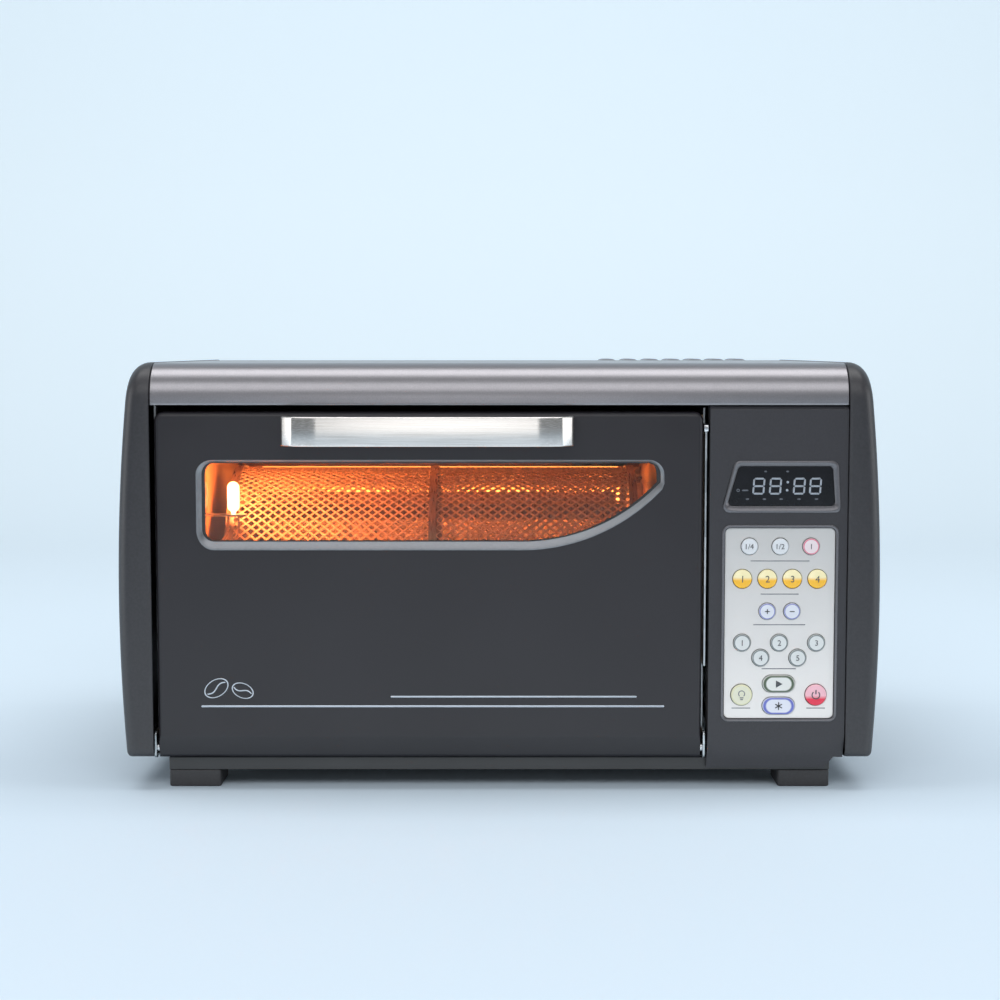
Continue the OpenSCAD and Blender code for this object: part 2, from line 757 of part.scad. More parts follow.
module front_frame() color("#b7babd") along_y(frame_y, chamber_y0) difference() {
  polygon(box_points(-side_x + sheet, frame_z0, divider_x, frame_z1));
  round_box(chamber_x0, chamber_z0, chamber_x1, chamber_z1, 3);
}

module chamber_shell() color("#b9b2a8") difference() {
  block([chamber_x0, chamber_y0, chamber_z0 - sheet],
    [chamber_x1, chamber_y1 + sheet, chamber_z1 + sheet]);
  block([chamber_x0 - 1, chamber_y0 - 1, chamber_z0],
    [chamber_x1 + 1, chamber_y1, chamber_z1]);
  for (i = [0:vent_rows - 1])
    block([vent_x0, chamber_y1 - 1, vent_z0 + i * vent_pitch],
      [vent_x1, chamber_y1 + sheet + 1, vent_z0 + i * vent_pitch + vent_slot]);
}

module chamber_end_walls() color("#c2bcb2") {
  difference() {
    block([chamber_x0 - sheet, chamber_y0, chamber_z0 - sheet],
      [chamber_x0, chamber_y1 + sheet, chamber_z1 + sheet]);
    bar_x(chamber_x0 - sheet - 1, chamber_x0 + 1, lamp_y, lamp_z, lamp_r + 1);
  }
  difference() {
    block([chamber_x1, chamber_y0, chamber_z0 - sheet],
      [chamber_x1 + sheet, chamber_y1 + sheet, chamber_z1 + sheet]);
    bar_x(chamber_x1 - 1, chamber_x1 + sheet + 1, drum_y, drum_z, coupler_r + 1.2);
  }
}

module chaff_tray() color("#9b9ea1") {
  z0 = chamber_z0 + tray_floor_gap;
  y0 = chamber_y0 + tray_front;
  difference() {
    union() {
      block([chamber_x0 + tray_gap, y0, z0],
        [chamber_x1 - tray_gap, guard_y - tray_back, z0 + tray_h]);
      block([door_mid - tray_lip_w / 2, y0 - 1, z0 + tray_h - 5],
        [door_mid + tray_lip_w / 2, y0 + 1, z0 + tray_h + tray_lip_h]);
    }
    block([chamber_x0 + tray_gap + sheet, y0 + sheet, z0 + sheet],
      [chamber_x1 - tray_gap - sheet, guard_y - tray_back - sheet, z0 + tray_h + tray_lip_h + 1]);
  }
}

module heater_tubes() color("#ffb36b")
  for (z = heater_zs)
    bar_x(chamber_x0 + cap_len - cap_lap, chamber_x1 - cap_len + cap_lap, heater_y, z, heater_r);

module heater_caps() color("#e6e0d4")
  for (z = heater_zs, end = [0, 1]) difference() {
    bar_x(end == 0 ? chamber_x0 : chamber_x1 - cap_len,
      end == 0 ? chamber_x0 + cap_len : chamber_x1, heater_y, z, cap_r);
    bar_x(chamber_x0 + cap_len - cap_lap, chamber_x1 - cap_len + cap_lap, heater_y, z,
      heater_r + face_fit);
  }

// A bright sheet behind the tubes, with a shallow trough behind each one
function reflector_line(i) = [
  [reflector_y - reflector_lip + i, guard_top + 4],
  [reflector_y + i, heater_zs[0] + trough_h],
  [reflector_y + i, heater_zs[0] - trough_h],
  [reflector_y - reflector_ridge + i, (heater_zs[0] + heater_zs[1]) / 2],
  [reflector_y + i, heater_zs[1] + trough_h],
  [reflector_y + i, heater_zs[1] - trough_h],
  [reflector_y - reflector_lip + i, guard_foot - 4]];

function reversed(v) = [for (i = [len(v) - 1:-1:0]) v[i]];

module heater_reflector() color("#d5d7d9")
  along_x(chamber_x0 + wall_gap, chamber_x1 - wall_gap)
    polygon(concat(reflector_line(0), reversed(reflector_line(reflector_t))));

module heater_guard() color("#b3b5b7") {
  guard_w = chamber_w - 2 * wall_gap;
  count = floor((guard_w - 20) / wire_pitch);
  for (i = [0:count])
    bar_z(guard_foot, guard_top, door_mid + (i - count / 2) * wire_pitch, guard_y, wire_r);
  for (z = [guard_foot + 3, drum_z + 5, guard_top - 3])
    bar_x(door_mid - guard_w / 2, door_mid + guard_w / 2, guard_y + 1.6 * wire_r, z, wire_r);
}

module lamp_holder() color("#ded8cc") difference() {
  union() {
    bar_x(chamber_x0 - holder_len, chamber_x0 - sheet, lamp_y, lamp_z, holder_r);
    bar_x(chamber_x0 - sheet - 1, chamber_x0 + 2, lamp_y, lamp_z, lamp_r);
  }
  bar_x(chamber_x0 - holder_len + 4, chamber_x0 + 3, lamp_y, lamp_z, lamp_r - 3);
}

module lamp_bulb() color("#fff2cf") {
  bar_x(chamber_x0 - holder_len + 5, chamber_x0 + 6, lamp_y, lamp_z, lamp_r - 3 - face_fit);
  translate([chamber_x0 + 2.1, lamp_y, lamp_z]) rotate([0, 90, 0]) rotate_extrude()
    polygon(concat([[0, 0], [lamp_r - 2, 0], [lamp_r, 4]],
      arc([0, lamp_len - lamp_r], lamp_r, 0, 90)));
}

// ---- Drum ----

module drum_cradle() color("#9a9da0") along_x(chamber_x0, chamber_x0 + cradle_t) difference() {
  round_box(drum_y - cradle_w / 2, drum_z - cradle_down,
    drum_y + cradle_w / 2, drum_z + cradle_up, 3);
  translate([drum_y, drum_z]) circle(axle_r + pin_fit);
  polygon(box_points(drum_y - axle_r - pin_fit, drum_z,
    drum_y + axle_r + pin_fit, drum_z + cradle_up + 1));
}

module drum_mesh() color("#c3a184") difference() {
  bar_x(drum_x0, drum_x1, drum_y, drum_z, drum_r);
  bar_x(drum_x0 - 1, drum_x1 + 1, drum_y, drum_z, mesh_in);
}

// Hoops around the mesh and lifting vanes inside it
module drum_frame() color("#c9c6c0") {
  for (x = [drum_x0, door_mid - hoop_w / 2, drum_x1 - hoop_w]) difference() {
    bar_x(x, x + hoop_w, drum_y, drum_z, drum_r + hoop_t);
    bar_x(x - 1, x + hoop_w + 1, drum_y, drum_z, drum_r);
  }
  for (i = [0:vane_count - 1])
    translate([0, drum_y, drum_z]) rotate([45 + i * 360 / vane_count, 0, 0])
      block([drum_x0 + 8, mesh_in - vane_h, -0.5], [drum_x1 - 8, mesh_in - 0.05, 0.5]);
}

// The part of a disc of radius r that lies below the line z
module disc_below(r, z) intersection() {
  circle(r);
  polygon(box_points(-r - 1, -r - 1, r + 1, z));
}

module drum_pin_end() color("#c4c6c8") {
  difference() {
    union() {
      bar_x(drum_x0, drum_x0 + end_t, drum_y, drum_z, mesh_in);
      bar_x(drum_x0 - 2, drum_x0 + eps, drum_y, drum_z, axle_r + 4);
    }
    along_x(drum_x0 - 1, drum_x0 + end_t + 1) translate([drum_y, drum_z])
      disc_below(mesh_in - hatch_edge - 5, hatch_axis - 8);
  }
  bar_x(chamber_x0 + pin_gap, drum_x0, drum_y, drum_z, axle_r);
  bar_y(drum_y - hatch_span / 2 - 2, drum_y + hatch_span / 2 + 2,
    hatch_axis_x, drum_z + hatch_axis, hatch_pin_r);
  for (side = [-1, 1])
    block([hatch_axis_x - 1.6, drum_y + side * (hatch_span / 2 + 2) - 1, drum_z + hatch_axis - 1.6],
      [drum_x0 + eps, drum_y + side * (hatch_span / 2 + 2) + 1, drum_z + hatch_axis + 1.6]);
}

module drum_hatch() color("#b3b6b9") {
  along_x(drum_x0 - hatch_gap - hatch_t, drum_x0 - hatch_gap) translate([drum_y, drum_z])
    disc_below(mesh_in - hatch_edge, hatch_axis - 3);
  difference() {
    union() {
      bar_y(drum_y - hatch_span / 2, drum_y + hatch_span / 2,
        hatch_axis_x, drum_z + hatch_axis, hatch_sleeve_r);
      block([drum_x0 - hatch_gap - hatch_t, drum_y - hatch_span / 2, drum_z + hatch_axis - 4],
        [drum_x0 - hatch_gap, drum_y + hatch_span / 2, drum_z + hatch_axis]);
    }
    bar_y(drum_y - hatch_span / 2 - 1, drum_y + hatch_span / 2 + 1,
      hatch_axis_x, drum_z + hatch_axis, hatch_pin_r + pin_fit);
  }
  block([drum_x0 - hatch_gap - hatch_t - 2, drum_y - 6, drum_z - mesh_in + hatch_edge + 4],
    [drum_x0 - hatch_gap - hatch_t + eps, drum_y + 6, drum_z - mesh_in + hatch_edge + 7]);
}

module drum_drive_end() color("#c4c6c8") {
  bar_x(drum_x1 - end_t, drum_x1, drum_y, drum_z, mesh_in);
  bar_x(drum_x1 - eps, drum_x1 + 1.5, drum_y, drum_z, axle_r + 4);
  block([drum_x1, drum_y - drive_w / 2, drum_z - drive_w / 2],
    [coupler_x0 + socket_d - 1, drum_y + drive_w / 2, drum_z + drive_w / 2]);
}

module drive_coupler() color("#8d9094") {
  difference() {
    bar_x(coupler_x0, coupler_x1, drum_y, drum_z, coupler_r);
    block([coupler_x0 - 1, drum_y - drive_w / 2 - socket_fit, drum_z - drive_w / 2 - socket_fit],
      [coupler_x0 + socket_d, drum_y + drive_w / 2 + socket_fit, drum_z + drive_w / 2 + socket_fit]);
  }
  bar_x(coupler_x1 - eps, divider_right + shaft_in - 0.5, drum_y, drum_z, shaft_r);
}

module drive_motor() color("#6f7378") difference() {
  union() {
    bar_x(divider_right, divider_right + gearbox_len, drum_y, drum_z, gearbox_r);
    bar_x(divider_right + gearbox_len - eps, divider_right + gearbox_len + motor_len,
      drum_y, drum_z, motor_r);
    block([divider_right + gearbox_len + 6, drum_y - 8, drum_z - motor_r - 5],
      [divider_right + gearbox_len + 26, drum_y + 8, drum_z - motor_r + 4]);
  }
  bar_x(divider_right - 1, divider_right + shaft_in, drum_y, drum_z, shaft_r + pin_fit);
}

// ---- Air ----

// Sheet metal box behind the chamber, with the coil rods that burn off the smoke
module afterburner() color("#a19c94") {
  difference() {
    block([burner_x0, chamber_y1 + sheet, burner_z0], [burner_x1, burner_y1, burner_z1]);
    block([burner_x0 + sheet, chamber_y1 + 2 * sheet, burner_z0 + sheet],
      [burner_x1 - sheet, burner_y1 - sheet, burner_z1 - sheet]);
    block([vent_x0, chamber_y1 - 1, vent_z0],
      [vent_x1, chamber_y1 + 3 * sheet, vent_z0 + vent_h]);
    bar_z(burner_z1 - 2 * sheet, burner_z1 + 1, exhaust_x, exhaust_y, exhaust_w / 2 - 3);
  }
  for (i = [-1:1])
    bar_y(chamber_y1 + 1.5 * sheet, burner_y1 - sheet / 2,
      exhaust_x + i * coil_pitch, (burner_z0 + burner_z1) / 2, coil_r);
}

// Square fan frame with a round duct and a three armed spider at its foot
module fan_frame(w, h) difference() {
  union() {
    difference() {
      along_z(0, h) round_box(-w / 2, -w / 2, w / 2, w / 2, 3);
      bar_z(-1, h + 1, 0, 0, w / 2 - 2);
    }
    bar_z(0.2, 2.7, 0, 0, w * hub_share / 2);
    for (i = [0:2]) rotate([0, 0, 90 + i * 120])
      block([w * hub_share / 2 - 1, -2, 0.2], [w / 2 - 1, 2, 2.5]);
  }
  bar_z(-1, h + 1, 0, 0, 1.5 + pin_fit);
}

// Fan wheel: hub, blades and the shaft that runs in the frame's spider
module fan_rotor(w, h) {
  bar_z(0.5, 4, 0, 0, 1.5);
  bar_z(3.5, h - 1, 0, 0, w * hub_share / 2);
  intersection() {
    bar_z(3.5, h - 1.5, 0, 0, w / 2 - 2 - blade_gap);
    union() for (i = [0:blade_count - 1])
      rotate([0, 0, i * 360 / blade_count]) translate([0, 0, h / 2 + 1]) rotate([35, 0, 0])
        block([w * hub_share / 2 - 1, -w, -0.6], [w / 2, w, 0.6]);
  }
}

module exhaust_fan_frame() color("#303236")
  translate([exhaust_x, exhaust_y, burner_z1]) fan_frame(exhaust_w, exhaust_h);

module exhaust_fan_rotor() color("#54575c")
  translate([exhaust_x, exhaust_y, burner_z1]) fan_rotor(exhaust_w, exhaust_h);

module cooling_fan_frame() color("#303236")
  translate([fan_x, back_y - cool_d, fan_z]) rotate([-90, 0, 0]) fan_frame(cool_w, cool_d);

module cooling_fan_rotor() color("#54575c")
  translate([fan_x, back_y - cool_d, fan_z]) rotate([-90, 0, 0]) fan_rotor(cool_w, cool_d);

// ---- Electronics ----

// Board on four posts, with a transformer, a capacitor and a relay
module power_board() color("#3d6b4a") {
  x0 = divider_right + flange_w + 1;
  x1 = side_x - flange_w - 1;
  z = base_top + power_up;
  top = z + board_t - eps;
  for (x = [x0 + power_edge, x1 - power_edge], y = [power_y0 + power_edge, power_y1 - power_edge])
    bar_z(base_top, z + eps, x, y, 3);
  block([x0, power_y0, z], [x1, power_y1, z + board_t]);
  translate([x0 + 3, power_y0 + 6, top]) cube(transformer);
  bar_z(top, top + capacitor_h, x1 - power_edge - capacitor_r, power_y1 - 2 * capacitor_r, capacitor_r);
  translate([x0 + 4, power_y1 - 30, top]) cube(relay);
}

module key_place(k) translate([column_mid + k[1], 0, k[2]]) children();

// Outline of a key, grown by g
module key_outline(k, g) {
  for (side = [-1, 1]) translate([side * k[4] / 2, 0]) circle(k[3] + g);
  if (k[4] > 0) polygon(box_points(-k[4] / 2, -k[3] - g, k[4] / 2, k[3] + g));
}

module key(k) color(k[5]) key_place(k) {
  along_y(pad_y - key_proud, pad_back + 0.06) key_outline(k, 0);
  along_y(pad_back + 0.05, pad_back + 0.95) key_outline(k, key_flange);
  bar_y(pad_back + 0.9, stem_end, 0, 0, stem_r);
}

module control_board() color("#2f5d46") {
  block([fascia_x0 + 4, board_y, pad_z - board_under],
    [fascia_x1 - 4, board_y + board_t, display_z + display_h + board_over]);
  for (k = KEYS) key_place(k)
    bar_y(stem_end + key_travel + switch_gap, board_y + eps, 0, 0, switch_r);
  block([display_x0 + 5, front_y + display_sink + lens_t + face_fit, display_z + 1],
    [display_x1 - 3, board_y + eps, display_z + display_h - 1]);
}

// Outline of the display window, grown by g
function display_outline(g) = rounded([
  [display_x0 - 1.25 * g, display_z - g],
  [display_x1 + g, display_z - g],
  [display_x1 - display_lean + g, display_z + display_h + g],
  [display_x0 + display_slant - 0.8 * g, display_z + display_h + g]], 2.5 + g / 2);

module display_lens() color("#101216")
  along_y(front_y + display_sink, front_y + display_sink + lens_t)
    polygon(display_outline(-face_fit));

// Outline of the keypad plate, grown by g
module pad_outline(g) round_box(pad_x0 - g, pad_z - g, pad_x1 + g, pad_z1 + g, pad_r);

module keypad_plate() color("#c6c8cb") along_y(pad_y, pad_back) difference() {
  pad_outline(0);
  for (k = KEYS) translate([column_mid + k[1], k[2]]) key_outline(k, key_fit);
}

// Outline of the fascia from the side, set in by i
function fascia_side(i) = [
  [front_y + 8.9 - (i > 0 ? -20 : 0), fascia_z + i],
  [front_y + 6.5 + i, fascia_z + i],
  [front_y + 5 + i, fascia_z + fascia_step],
  [front_y + i, door_z0 + apron_h],
  [front_y + i, fascia_z1 - 2],
  [front_y + 2 + i, fascia_z1 - i],
  [frame_y + (i > 0 ? 1 : 0), fascia_z1 - i],
  [frame_y + (i > 0 ? 1 : 0), base_top + 2.6 + i],
  [front_y + 8.9 - (i > 0 ? -20 : 0), base_top + 2.6 + i]];

// Outline of the fascia from the front, set in by i
function fascia_front(i) = [
  [fascia_x0 + i, fascia_z + i],
  [fascia_x1 - 10.4 - i, fascia_z + i],
  [fascia_x1 - 5.3 - i, fascia_z + fascia_step],
  [fascia_x1 - i, fascia_z + fascia_step + i],
  [fascia_x1 - i, fascia_z1 - i],
  [fascia_x0 + i, fascia_z1 - i]];

module fascia_solid(i) intersection() {
  along_x(fascia_x0 - 1, fascia_x1 + 1) polygon(fascia_side(i));
  along_y(front_y - 1, frame_y + 2) polygon(fascia_front(i));
}

module control_fascia() color("#38393e") {
  difference() {
    fascia_solid(0);
    fascia_solid(mould_wall);
    along_y(front_y - 1, frame_y) {
      pad_outline(face_fit);
      polygon(display_outline(0));
    }
    along_y(front_y - 1, front_y + display_sink) polygon(display_outline(display_rim));
  }
  along_y(fascia_skin_y - eps, pad_back + eps) difference() {
    pad_outline(2);
    pad_outline(face_fit);
  }
  along_y(pad_back, pad_back + ledge_t) difference() {
    pad_outline(2);
    pad_outline(-pad_ledge);
  }
  for (x = [fascia_x0 + 6, fascia_x1 - 6],
       z = [pad_z - board_under / 2, display_z + display_h + board_over - 3])
    bar_y(fascia_skin_y - eps, board_y, x, z, 2.2);
}

// ---- Door ----

// Outline of the door from the side, set in by i
function door_side(i) = concat(
  [
    [liner_y + sheet + (i > 0 ? 1 : 0), liner_z + i],
    [hinge_y + door_sill, door_z0 + i],
    [front_y + apron_in + i, door_z0 + i],
    [front_y + i, door_z0 + apron_h]
  ],
  arc([front_y + door_edge_r, door_z1 - door_edge_r], door_edge_r - i, 180, 90),
  [[liner_y + sheet + (i > 0 ? 1 : 0), door_z1 - i]]);

function door_front(i) = rounded(
  box_points(door_x0 + i, door_z0 + i, door_x1 - i, door_z1 - i),
  [1.5, 1.5, door_corner_r - i, door_corner_r - i]);

function door_plan(i) = rounded(
  box_points(door_x0 + i, front_y + i, door_x1 - i, frame_y),
  [door_edge_r - i, door_edge_r - i, 0, 0]);

module door_solid(i) intersection() {
  along_x(door_x0 - 1, door_x1 + 1) polygon(door_side(i));
  along_y(front_y - 1, frame_y) polygon(door_front(i));
  along_z(door_z0 - 1, door_z1 + 1) polygon(door_plan(i));
}

// Outline of the window, grown by g: straight on top and swept up at the lower right
module window_outline(g) intersection() {
  round_box(window_x - g, window_z0 - g, window_x + window_w + g, window_z1 + g, window_r + g / 2);
  union() {
    polygon(box_points(window_x - g - 1, window_z0 - g - 1,
      window_x + window_w - sweep_w, window_z1 + g + 1));
    translate([window_x + window_w - sweep_w, window_z0 + sweep_r])
      circle(sweep_r + g, $fn = 256);
  }
}

module hinge_pin_holes(r)
  for (x = [door_x0, door_x1]) bar_x(x - 3, x + 3, hinge_y, hinge_z, r);

module door_skin() color("#3b3c42") {
  difference() {
    door_solid(0);
    door_solid(sheet);
    along_y(front_y - 1, front_y + 2 * sheet) window_outline(bevel_w);
    hinge_pin_holes(hinge_pin_r);
  }
  along_y(front_y + sheet - eps, front_y + 2 * sheet) difference() {
    window_outline(bevel_lap);
    window_outline(0);
  }
}

module door_liner() color("#9ea1a4") {
  along_y(liner_y, liner_y + sheet) difference() {
    round_box(door_x0 + sheet + face_fit, liner_z + 1.5,
      door_x1 - sheet - face_fit, door_z1 - sheet - face_fit, 3.5);
    window_outline(2);
  }
  along_y(glass_y + glass_t, liner_y + eps) difference() {
    window_outline(2 + sheet);
    window_outline(2);
  }
}

module door_glass() color("#c98f5a")
  along_y(glass_y, glass_y + glass_t) window_outline(glass_lap);

// Plan of one half of the handle's strap, front corners first, set in by i
function handle_half(i) = [
  [0, -handle_reach + i],
  [handle_w / 2 - handle_cut - handle_ease - i / 8, -handle_reach + i],
  [handle_w / 2 - handle_cut - i / 2, -handle_reach + 2 + i],
  [handle_w / 2 - i, -handle_reach + 2 + handle_cut + i / 2],
  [handle_w / 2 - i, (i > 0 ? 1 : 0)]];

module door_handle() color("#c9ccce")
  translate([door_mid, front_y, 0]) along_z(handle_z0, handle_z0 + handle_h)
    for (side = [0, 1]) mirror([side, 0]) difference() {
      polygon(concat(handle_half(0), [[0, 0]]));
      polygon(concat(handle_half(handle_t), [[-1, 1], [-1, -handle_reach + handle_t]]));
    }

module door_hinge_pins() color("#d0d2d4")
  for (side = [0, 1]) translate([side * (door_x0 + door_x1), 0, 0]) mirror([side, 0, 0]) {
    bar_x(-side_x + face_fit, door_x0 + sheet + eps, hinge_y, hinge_z, hinge_pin_r);
    intersection() {
      bar_x(door_x0 + sheet, door_x0 + sheet + 1.5, hinge_y, hinge_z, hinge_pin_r + 1.2);
      door_solid(sheet);
    }
  }

// ---- One line per node ----

base_pan();
feet();
side_plates();
divider_plate();
top_cover();
side_panel_left();
side_panel_right();
rear_panel();
cord_gland();
front_frame();
chamber_shell();
chamber_end_walls();
chaff_tray();
heater_tubes();
heater_caps();
heater_reflector();
heater_guard();
lamp_bulb();
lamp_holder();
drum_cradle();
drum_mesh();
drum_frame();
drum_pin_end();
drum_hatch();
drum_drive_end();
drive_coupler();
drive_motor();
afterburner();
exhaust_fan_frame();
exhaust_fan_rotor();
cooling_fan_frame();
cooling_fan_rotor();
power_board();
control_board();
display_lens();
keypad_plate();
control_fascia();
door_skin();
door_liner();
door_glass();
door_handle();
door_hinge_pins();
for (k = KEYS) key(k);
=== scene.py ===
# %% [markdown]
# # Dressing a countertop coffee roaster
# The CAD model gives every part its place and size. This lesson gives each part its finish: satin
# powder coat on the door, grained plastic on the sides, a glowing mesh drum behind the glass.
# Lengths in the code are millimetres until the last moment, because that is how the parts are drawn.

# %% Load the frame
import json
import math

import bmesh
import bpy
import numpy as np
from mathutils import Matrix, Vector


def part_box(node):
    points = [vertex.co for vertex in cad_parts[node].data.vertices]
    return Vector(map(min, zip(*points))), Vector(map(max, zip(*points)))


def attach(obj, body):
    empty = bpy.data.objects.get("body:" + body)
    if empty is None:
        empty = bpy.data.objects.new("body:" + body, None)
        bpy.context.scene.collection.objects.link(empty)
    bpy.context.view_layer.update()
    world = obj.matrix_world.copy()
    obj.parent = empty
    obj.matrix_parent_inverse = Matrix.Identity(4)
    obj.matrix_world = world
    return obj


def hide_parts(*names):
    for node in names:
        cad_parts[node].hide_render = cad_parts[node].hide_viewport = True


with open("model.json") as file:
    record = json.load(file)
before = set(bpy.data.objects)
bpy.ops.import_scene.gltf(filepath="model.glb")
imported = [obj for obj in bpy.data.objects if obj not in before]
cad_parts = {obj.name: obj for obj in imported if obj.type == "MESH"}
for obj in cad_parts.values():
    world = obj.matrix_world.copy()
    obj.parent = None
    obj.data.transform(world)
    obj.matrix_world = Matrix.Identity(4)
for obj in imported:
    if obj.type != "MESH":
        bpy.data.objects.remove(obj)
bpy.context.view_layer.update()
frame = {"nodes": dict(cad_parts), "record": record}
MM = 0.001
NODES = frame["nodes"]
BODIES = frame["record"]["behaviour"]["bodies"]
BODY_OF = {node: body for body, nodes in BODIES.items() for node in nodes}

# %% [markdown]
# ## Camera and studio
# The photograph looks straight at the front from a little above the cover, about a metre away. The
# camera's place, tilt and lens were worked out from the door's and keypad's corners.

# %% Camera
CAMERA_PLACE = (0.4, -1174.0, 254.0)
CAMERA_TILT = 4.68
CAMERA_LENS = 66.44


def placed(name, data):
    """A new object in the scene that holds the data: a mesh, a curve, a lamp or a camera."""
    piece = bpy.data.objects.new(name, data)
    bpy.context.scene.collection.objects.link(piece)
    return piece


camera = placed("camera", bpy.data.cameras.new("camera"))
bpy.context.scene.camera = camera
camera.location = Vector(CAMERA_PLACE) * MM
camera.rotation_euler = (math.radians(90 - CAMERA_TILT), 0, 0)
camera.data.lens = CAMERA_LENS
camera.data.sensor_width = 36
camera.data.clip_start, camera.data.clip_end = 0.01, 50
bpy.context.scene.view_settings.view_transform = "Standard"
print("camera", CAMERA_PLACE, "lens", CAMERA_LENS)

# %% [markdown]
# Two small tools serve all the materials. One turns a hex colour, as a paint chart gives it, into
# the linear light that the renderer works in. The other adds one node with its settings and links.

# %% Colours, materials and nodes
def linear(hex_colour, alpha=1.0):
    """sRGB hex to linear RGBA: c / 12.92 near black, else ((c + 0.055) / 1.055) to the power 2.4."""
    c = np.array([int(hex_colour[i : i + 2], 16) / 255 for i in (1, 3, 5)])
    return (*np.where(c <= 0.04045, c / 12.92, ((c + 0.055) / 1.055) ** 2.4), alpha)


def add_node(material, kind, inputs=None, **settings):
    """Add one node. settings are its properties; inputs are values or other nodes' outputs."""
    node = material.node_tree.nodes.new(kind)
    for key, value in settings.items():
        setattr(node, key, value)
    for key, value in (inputs or {}).items():
        if isinstance(value, bpy.types.NodeSocket):
            material.node_tree.links.new(value, node.inputs[key])
        else:
            node.inputs[key].default_value = value
    return node


def shader_of(material):
    return material.node_tree.nodes["Principled BSDF"]


def new_material(name, colour, roughness, metallic=0.0, **sockets):
    """A material whose Principled shader carries every value that is the same all over."""
    material = bpy.data.materials.new(name)
    material.use_nodes = True
    inputs = shader_of(material).inputs
    inputs["Base Color"].default_value = linear(colour)
    inputs["Roughness"].default_value = roughness
    inputs["Metallic"].default_value = metallic
    for key, value in sockets.items():
        inputs[key.replace("_", " ")].default_value = value
    material.diffuse_color = linear(colour)
    return material


def feed(material, socket, output):
    material.node_tree.links.new(output, shader_of(material).inputs[socket])


# %% Patterns that several finishes share
def noise(material, size, stretch=(1, 1, 1), detail=3.0, roughness=0.5):
    """Noise on Object coordinates whose blobs are about size millimetres, times stretch."""
    place = add_node(material, "ShaderNodeTexCoord").outputs["Object"]
    scaled = add_node(material, "ShaderNodeMapping",
                      {"Vector": place, "Scale": [1 / (size * MM * s) for s in stretch]})
    return add_node(material, "ShaderNodeTexNoise",
                    {"Vector": scaled.outputs["Vector"], "Scale": 1.0, "Detail": detail,
                     "Roughness": roughness}).outputs["Fac"]


def tint(material, factor, low, high, start=0.3, end=0.7):
    """Blend the base colour from low to high as factor goes from start to end."""
    ramp = add_node(material, "ShaderNodeValToRGB", {"Fac": factor})
    ramp.color_ramp.elements[0].position, ramp.color_ramp.elements[1].position = start, end
    ramp.color_ramp.elements[0].color, ramp.color_ramp.elements[1].color = linear(low), linear(high)
    feed(material, "Base Color", ramp.outputs["Color"])


def vary_roughness(material, factor, low, high):
    span = add_node(material, "ShaderNodeMapRange",
                    {"Value": factor, "From Min": 0.3, "From Max": 0.7, "To Min": low, "To Max": high})
    feed(material, "Roughness", span.outputs["Result"])


def share_along(material, axis, low, high, most=1.0):
    """From 0 to most while the Object coordinate on an axis goes from low to high millimetres."""
    place = add_node(material, "ShaderNodeTexCoord").outputs["Object"]
    along = add_node(material, "ShaderNodeSeparateXYZ", {"Vector": place}).outputs[axis]
    return add_node(material, "ShaderNodeMapRange",
                    {"Value": along, "From Min": low * MM, "From Max": high * MM,
                     "To Max": most}).outputs["Result"]


def relief(material, height, depth, strength=1.0):
    """Raise the surface by height times depth millimetres, as bump."""
    bump = add_node(material, "ShaderNodeBump",
                    {"Height": height, "Distance": depth * MM, "Strength": strength})
    feed(material, "Normal", bump.outputs["Normal"])


# %% [markdown]
# ## Shapes from arrays
# Every new surface is a grid of points worked out at once with numpy. `grid_faces` joins
# neighbouring points with quads, and `build` puts points and faces into a mesh.

# %% Grids and meshes
def grid_faces(rows, cols, close_rows=False, close_cols=False, start=0):
    """Quads between neighbours in a rows x cols grid of points, which may close on itself."""
    r = np.arange(rows if close_rows else rows - 1)[:, None]
    c = np.arange(cols if close_cols else cols - 1)[None, :]
    r1, c1 = (r + 1) % rows, (c + 1) % cols
    corners = [a * cols + b for a, b in ((r, c), (r, c1), (r1, c1), (r1, c))]
    return (np.stack(corners, -1).reshape(-1, 4) + start).tolist()


def closed_tube(rows, count, start=0):
    """Quads between rings of count points each, and one face across either end."""
    last = start + (rows - 1) * count
    ends = [list(range(start, start + count)), list(range(last + count - 1, last - 1, -1))]
    return grid_faces(rows, count, close_cols=True, start=start) + ends


def shade_smooth(data):
    data.polygons.foreach_set("use_smooth", np.ones(len(data.polygons), bool))


def build(name, points, faces, facing=None, weld=0.0):
    """A mesh object from points in millimetres. facing is a direction that most faces look in, or
    "as made" where the faces already point outwards."""
    data = bpy.data.meshes.new(name)
    data.from_pydata((np.asarray(points, float) * MM).tolist(), [], faces)
    work = bmesh.new()
    work.from_mesh(data)
    if weld:
        bmesh.ops.remove_doubles(work, verts=work.verts, dist=weld * MM)
    if facing != "as made":
        bmesh.ops.recalc_face_normals(work, faces=work.faces)
    if isinstance(facing, tuple):
        look = Vector(facing)
        if sum(f.normal.dot(look) * f.calc_area() for f in work.faces) < 0:
            bmesh.ops.reverse_faces(work, faces=work.faces)
    work.to_mesh(data)
    work.free()
    shade_smooth(data)
    return placed(name, data)


def modifier(piece, kind, **settings):
    made = piece.modifiers.new(kind.lower(), kind)
    for key, value in settings.items():
        setattr(made, key, value)
    return made


def sharpen(piece, angle=32):
    """Shade smoothly, but keep edges that turn by more than angle degrees crisp."""
    piece.data.set_sharp_from_angle(angle=math.radians(angle))
    return piece


def settle(piece):
    """Turn the modifiers into plain mesh, so that later steps see the final surface."""
    graph = bpy.context.evaluated_depsgraph_get()
    data = bpy.data.meshes.new_from_object(piece.evaluated_get(graph))
    piece.modifiers.clear()
    piece.data = data
    return piece


def size_of(node):
    """Lowest and highest corner of a CAD node, in millimetres."""
    low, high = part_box(node)
    return np.array(low) / MM, np.array(high) / MM


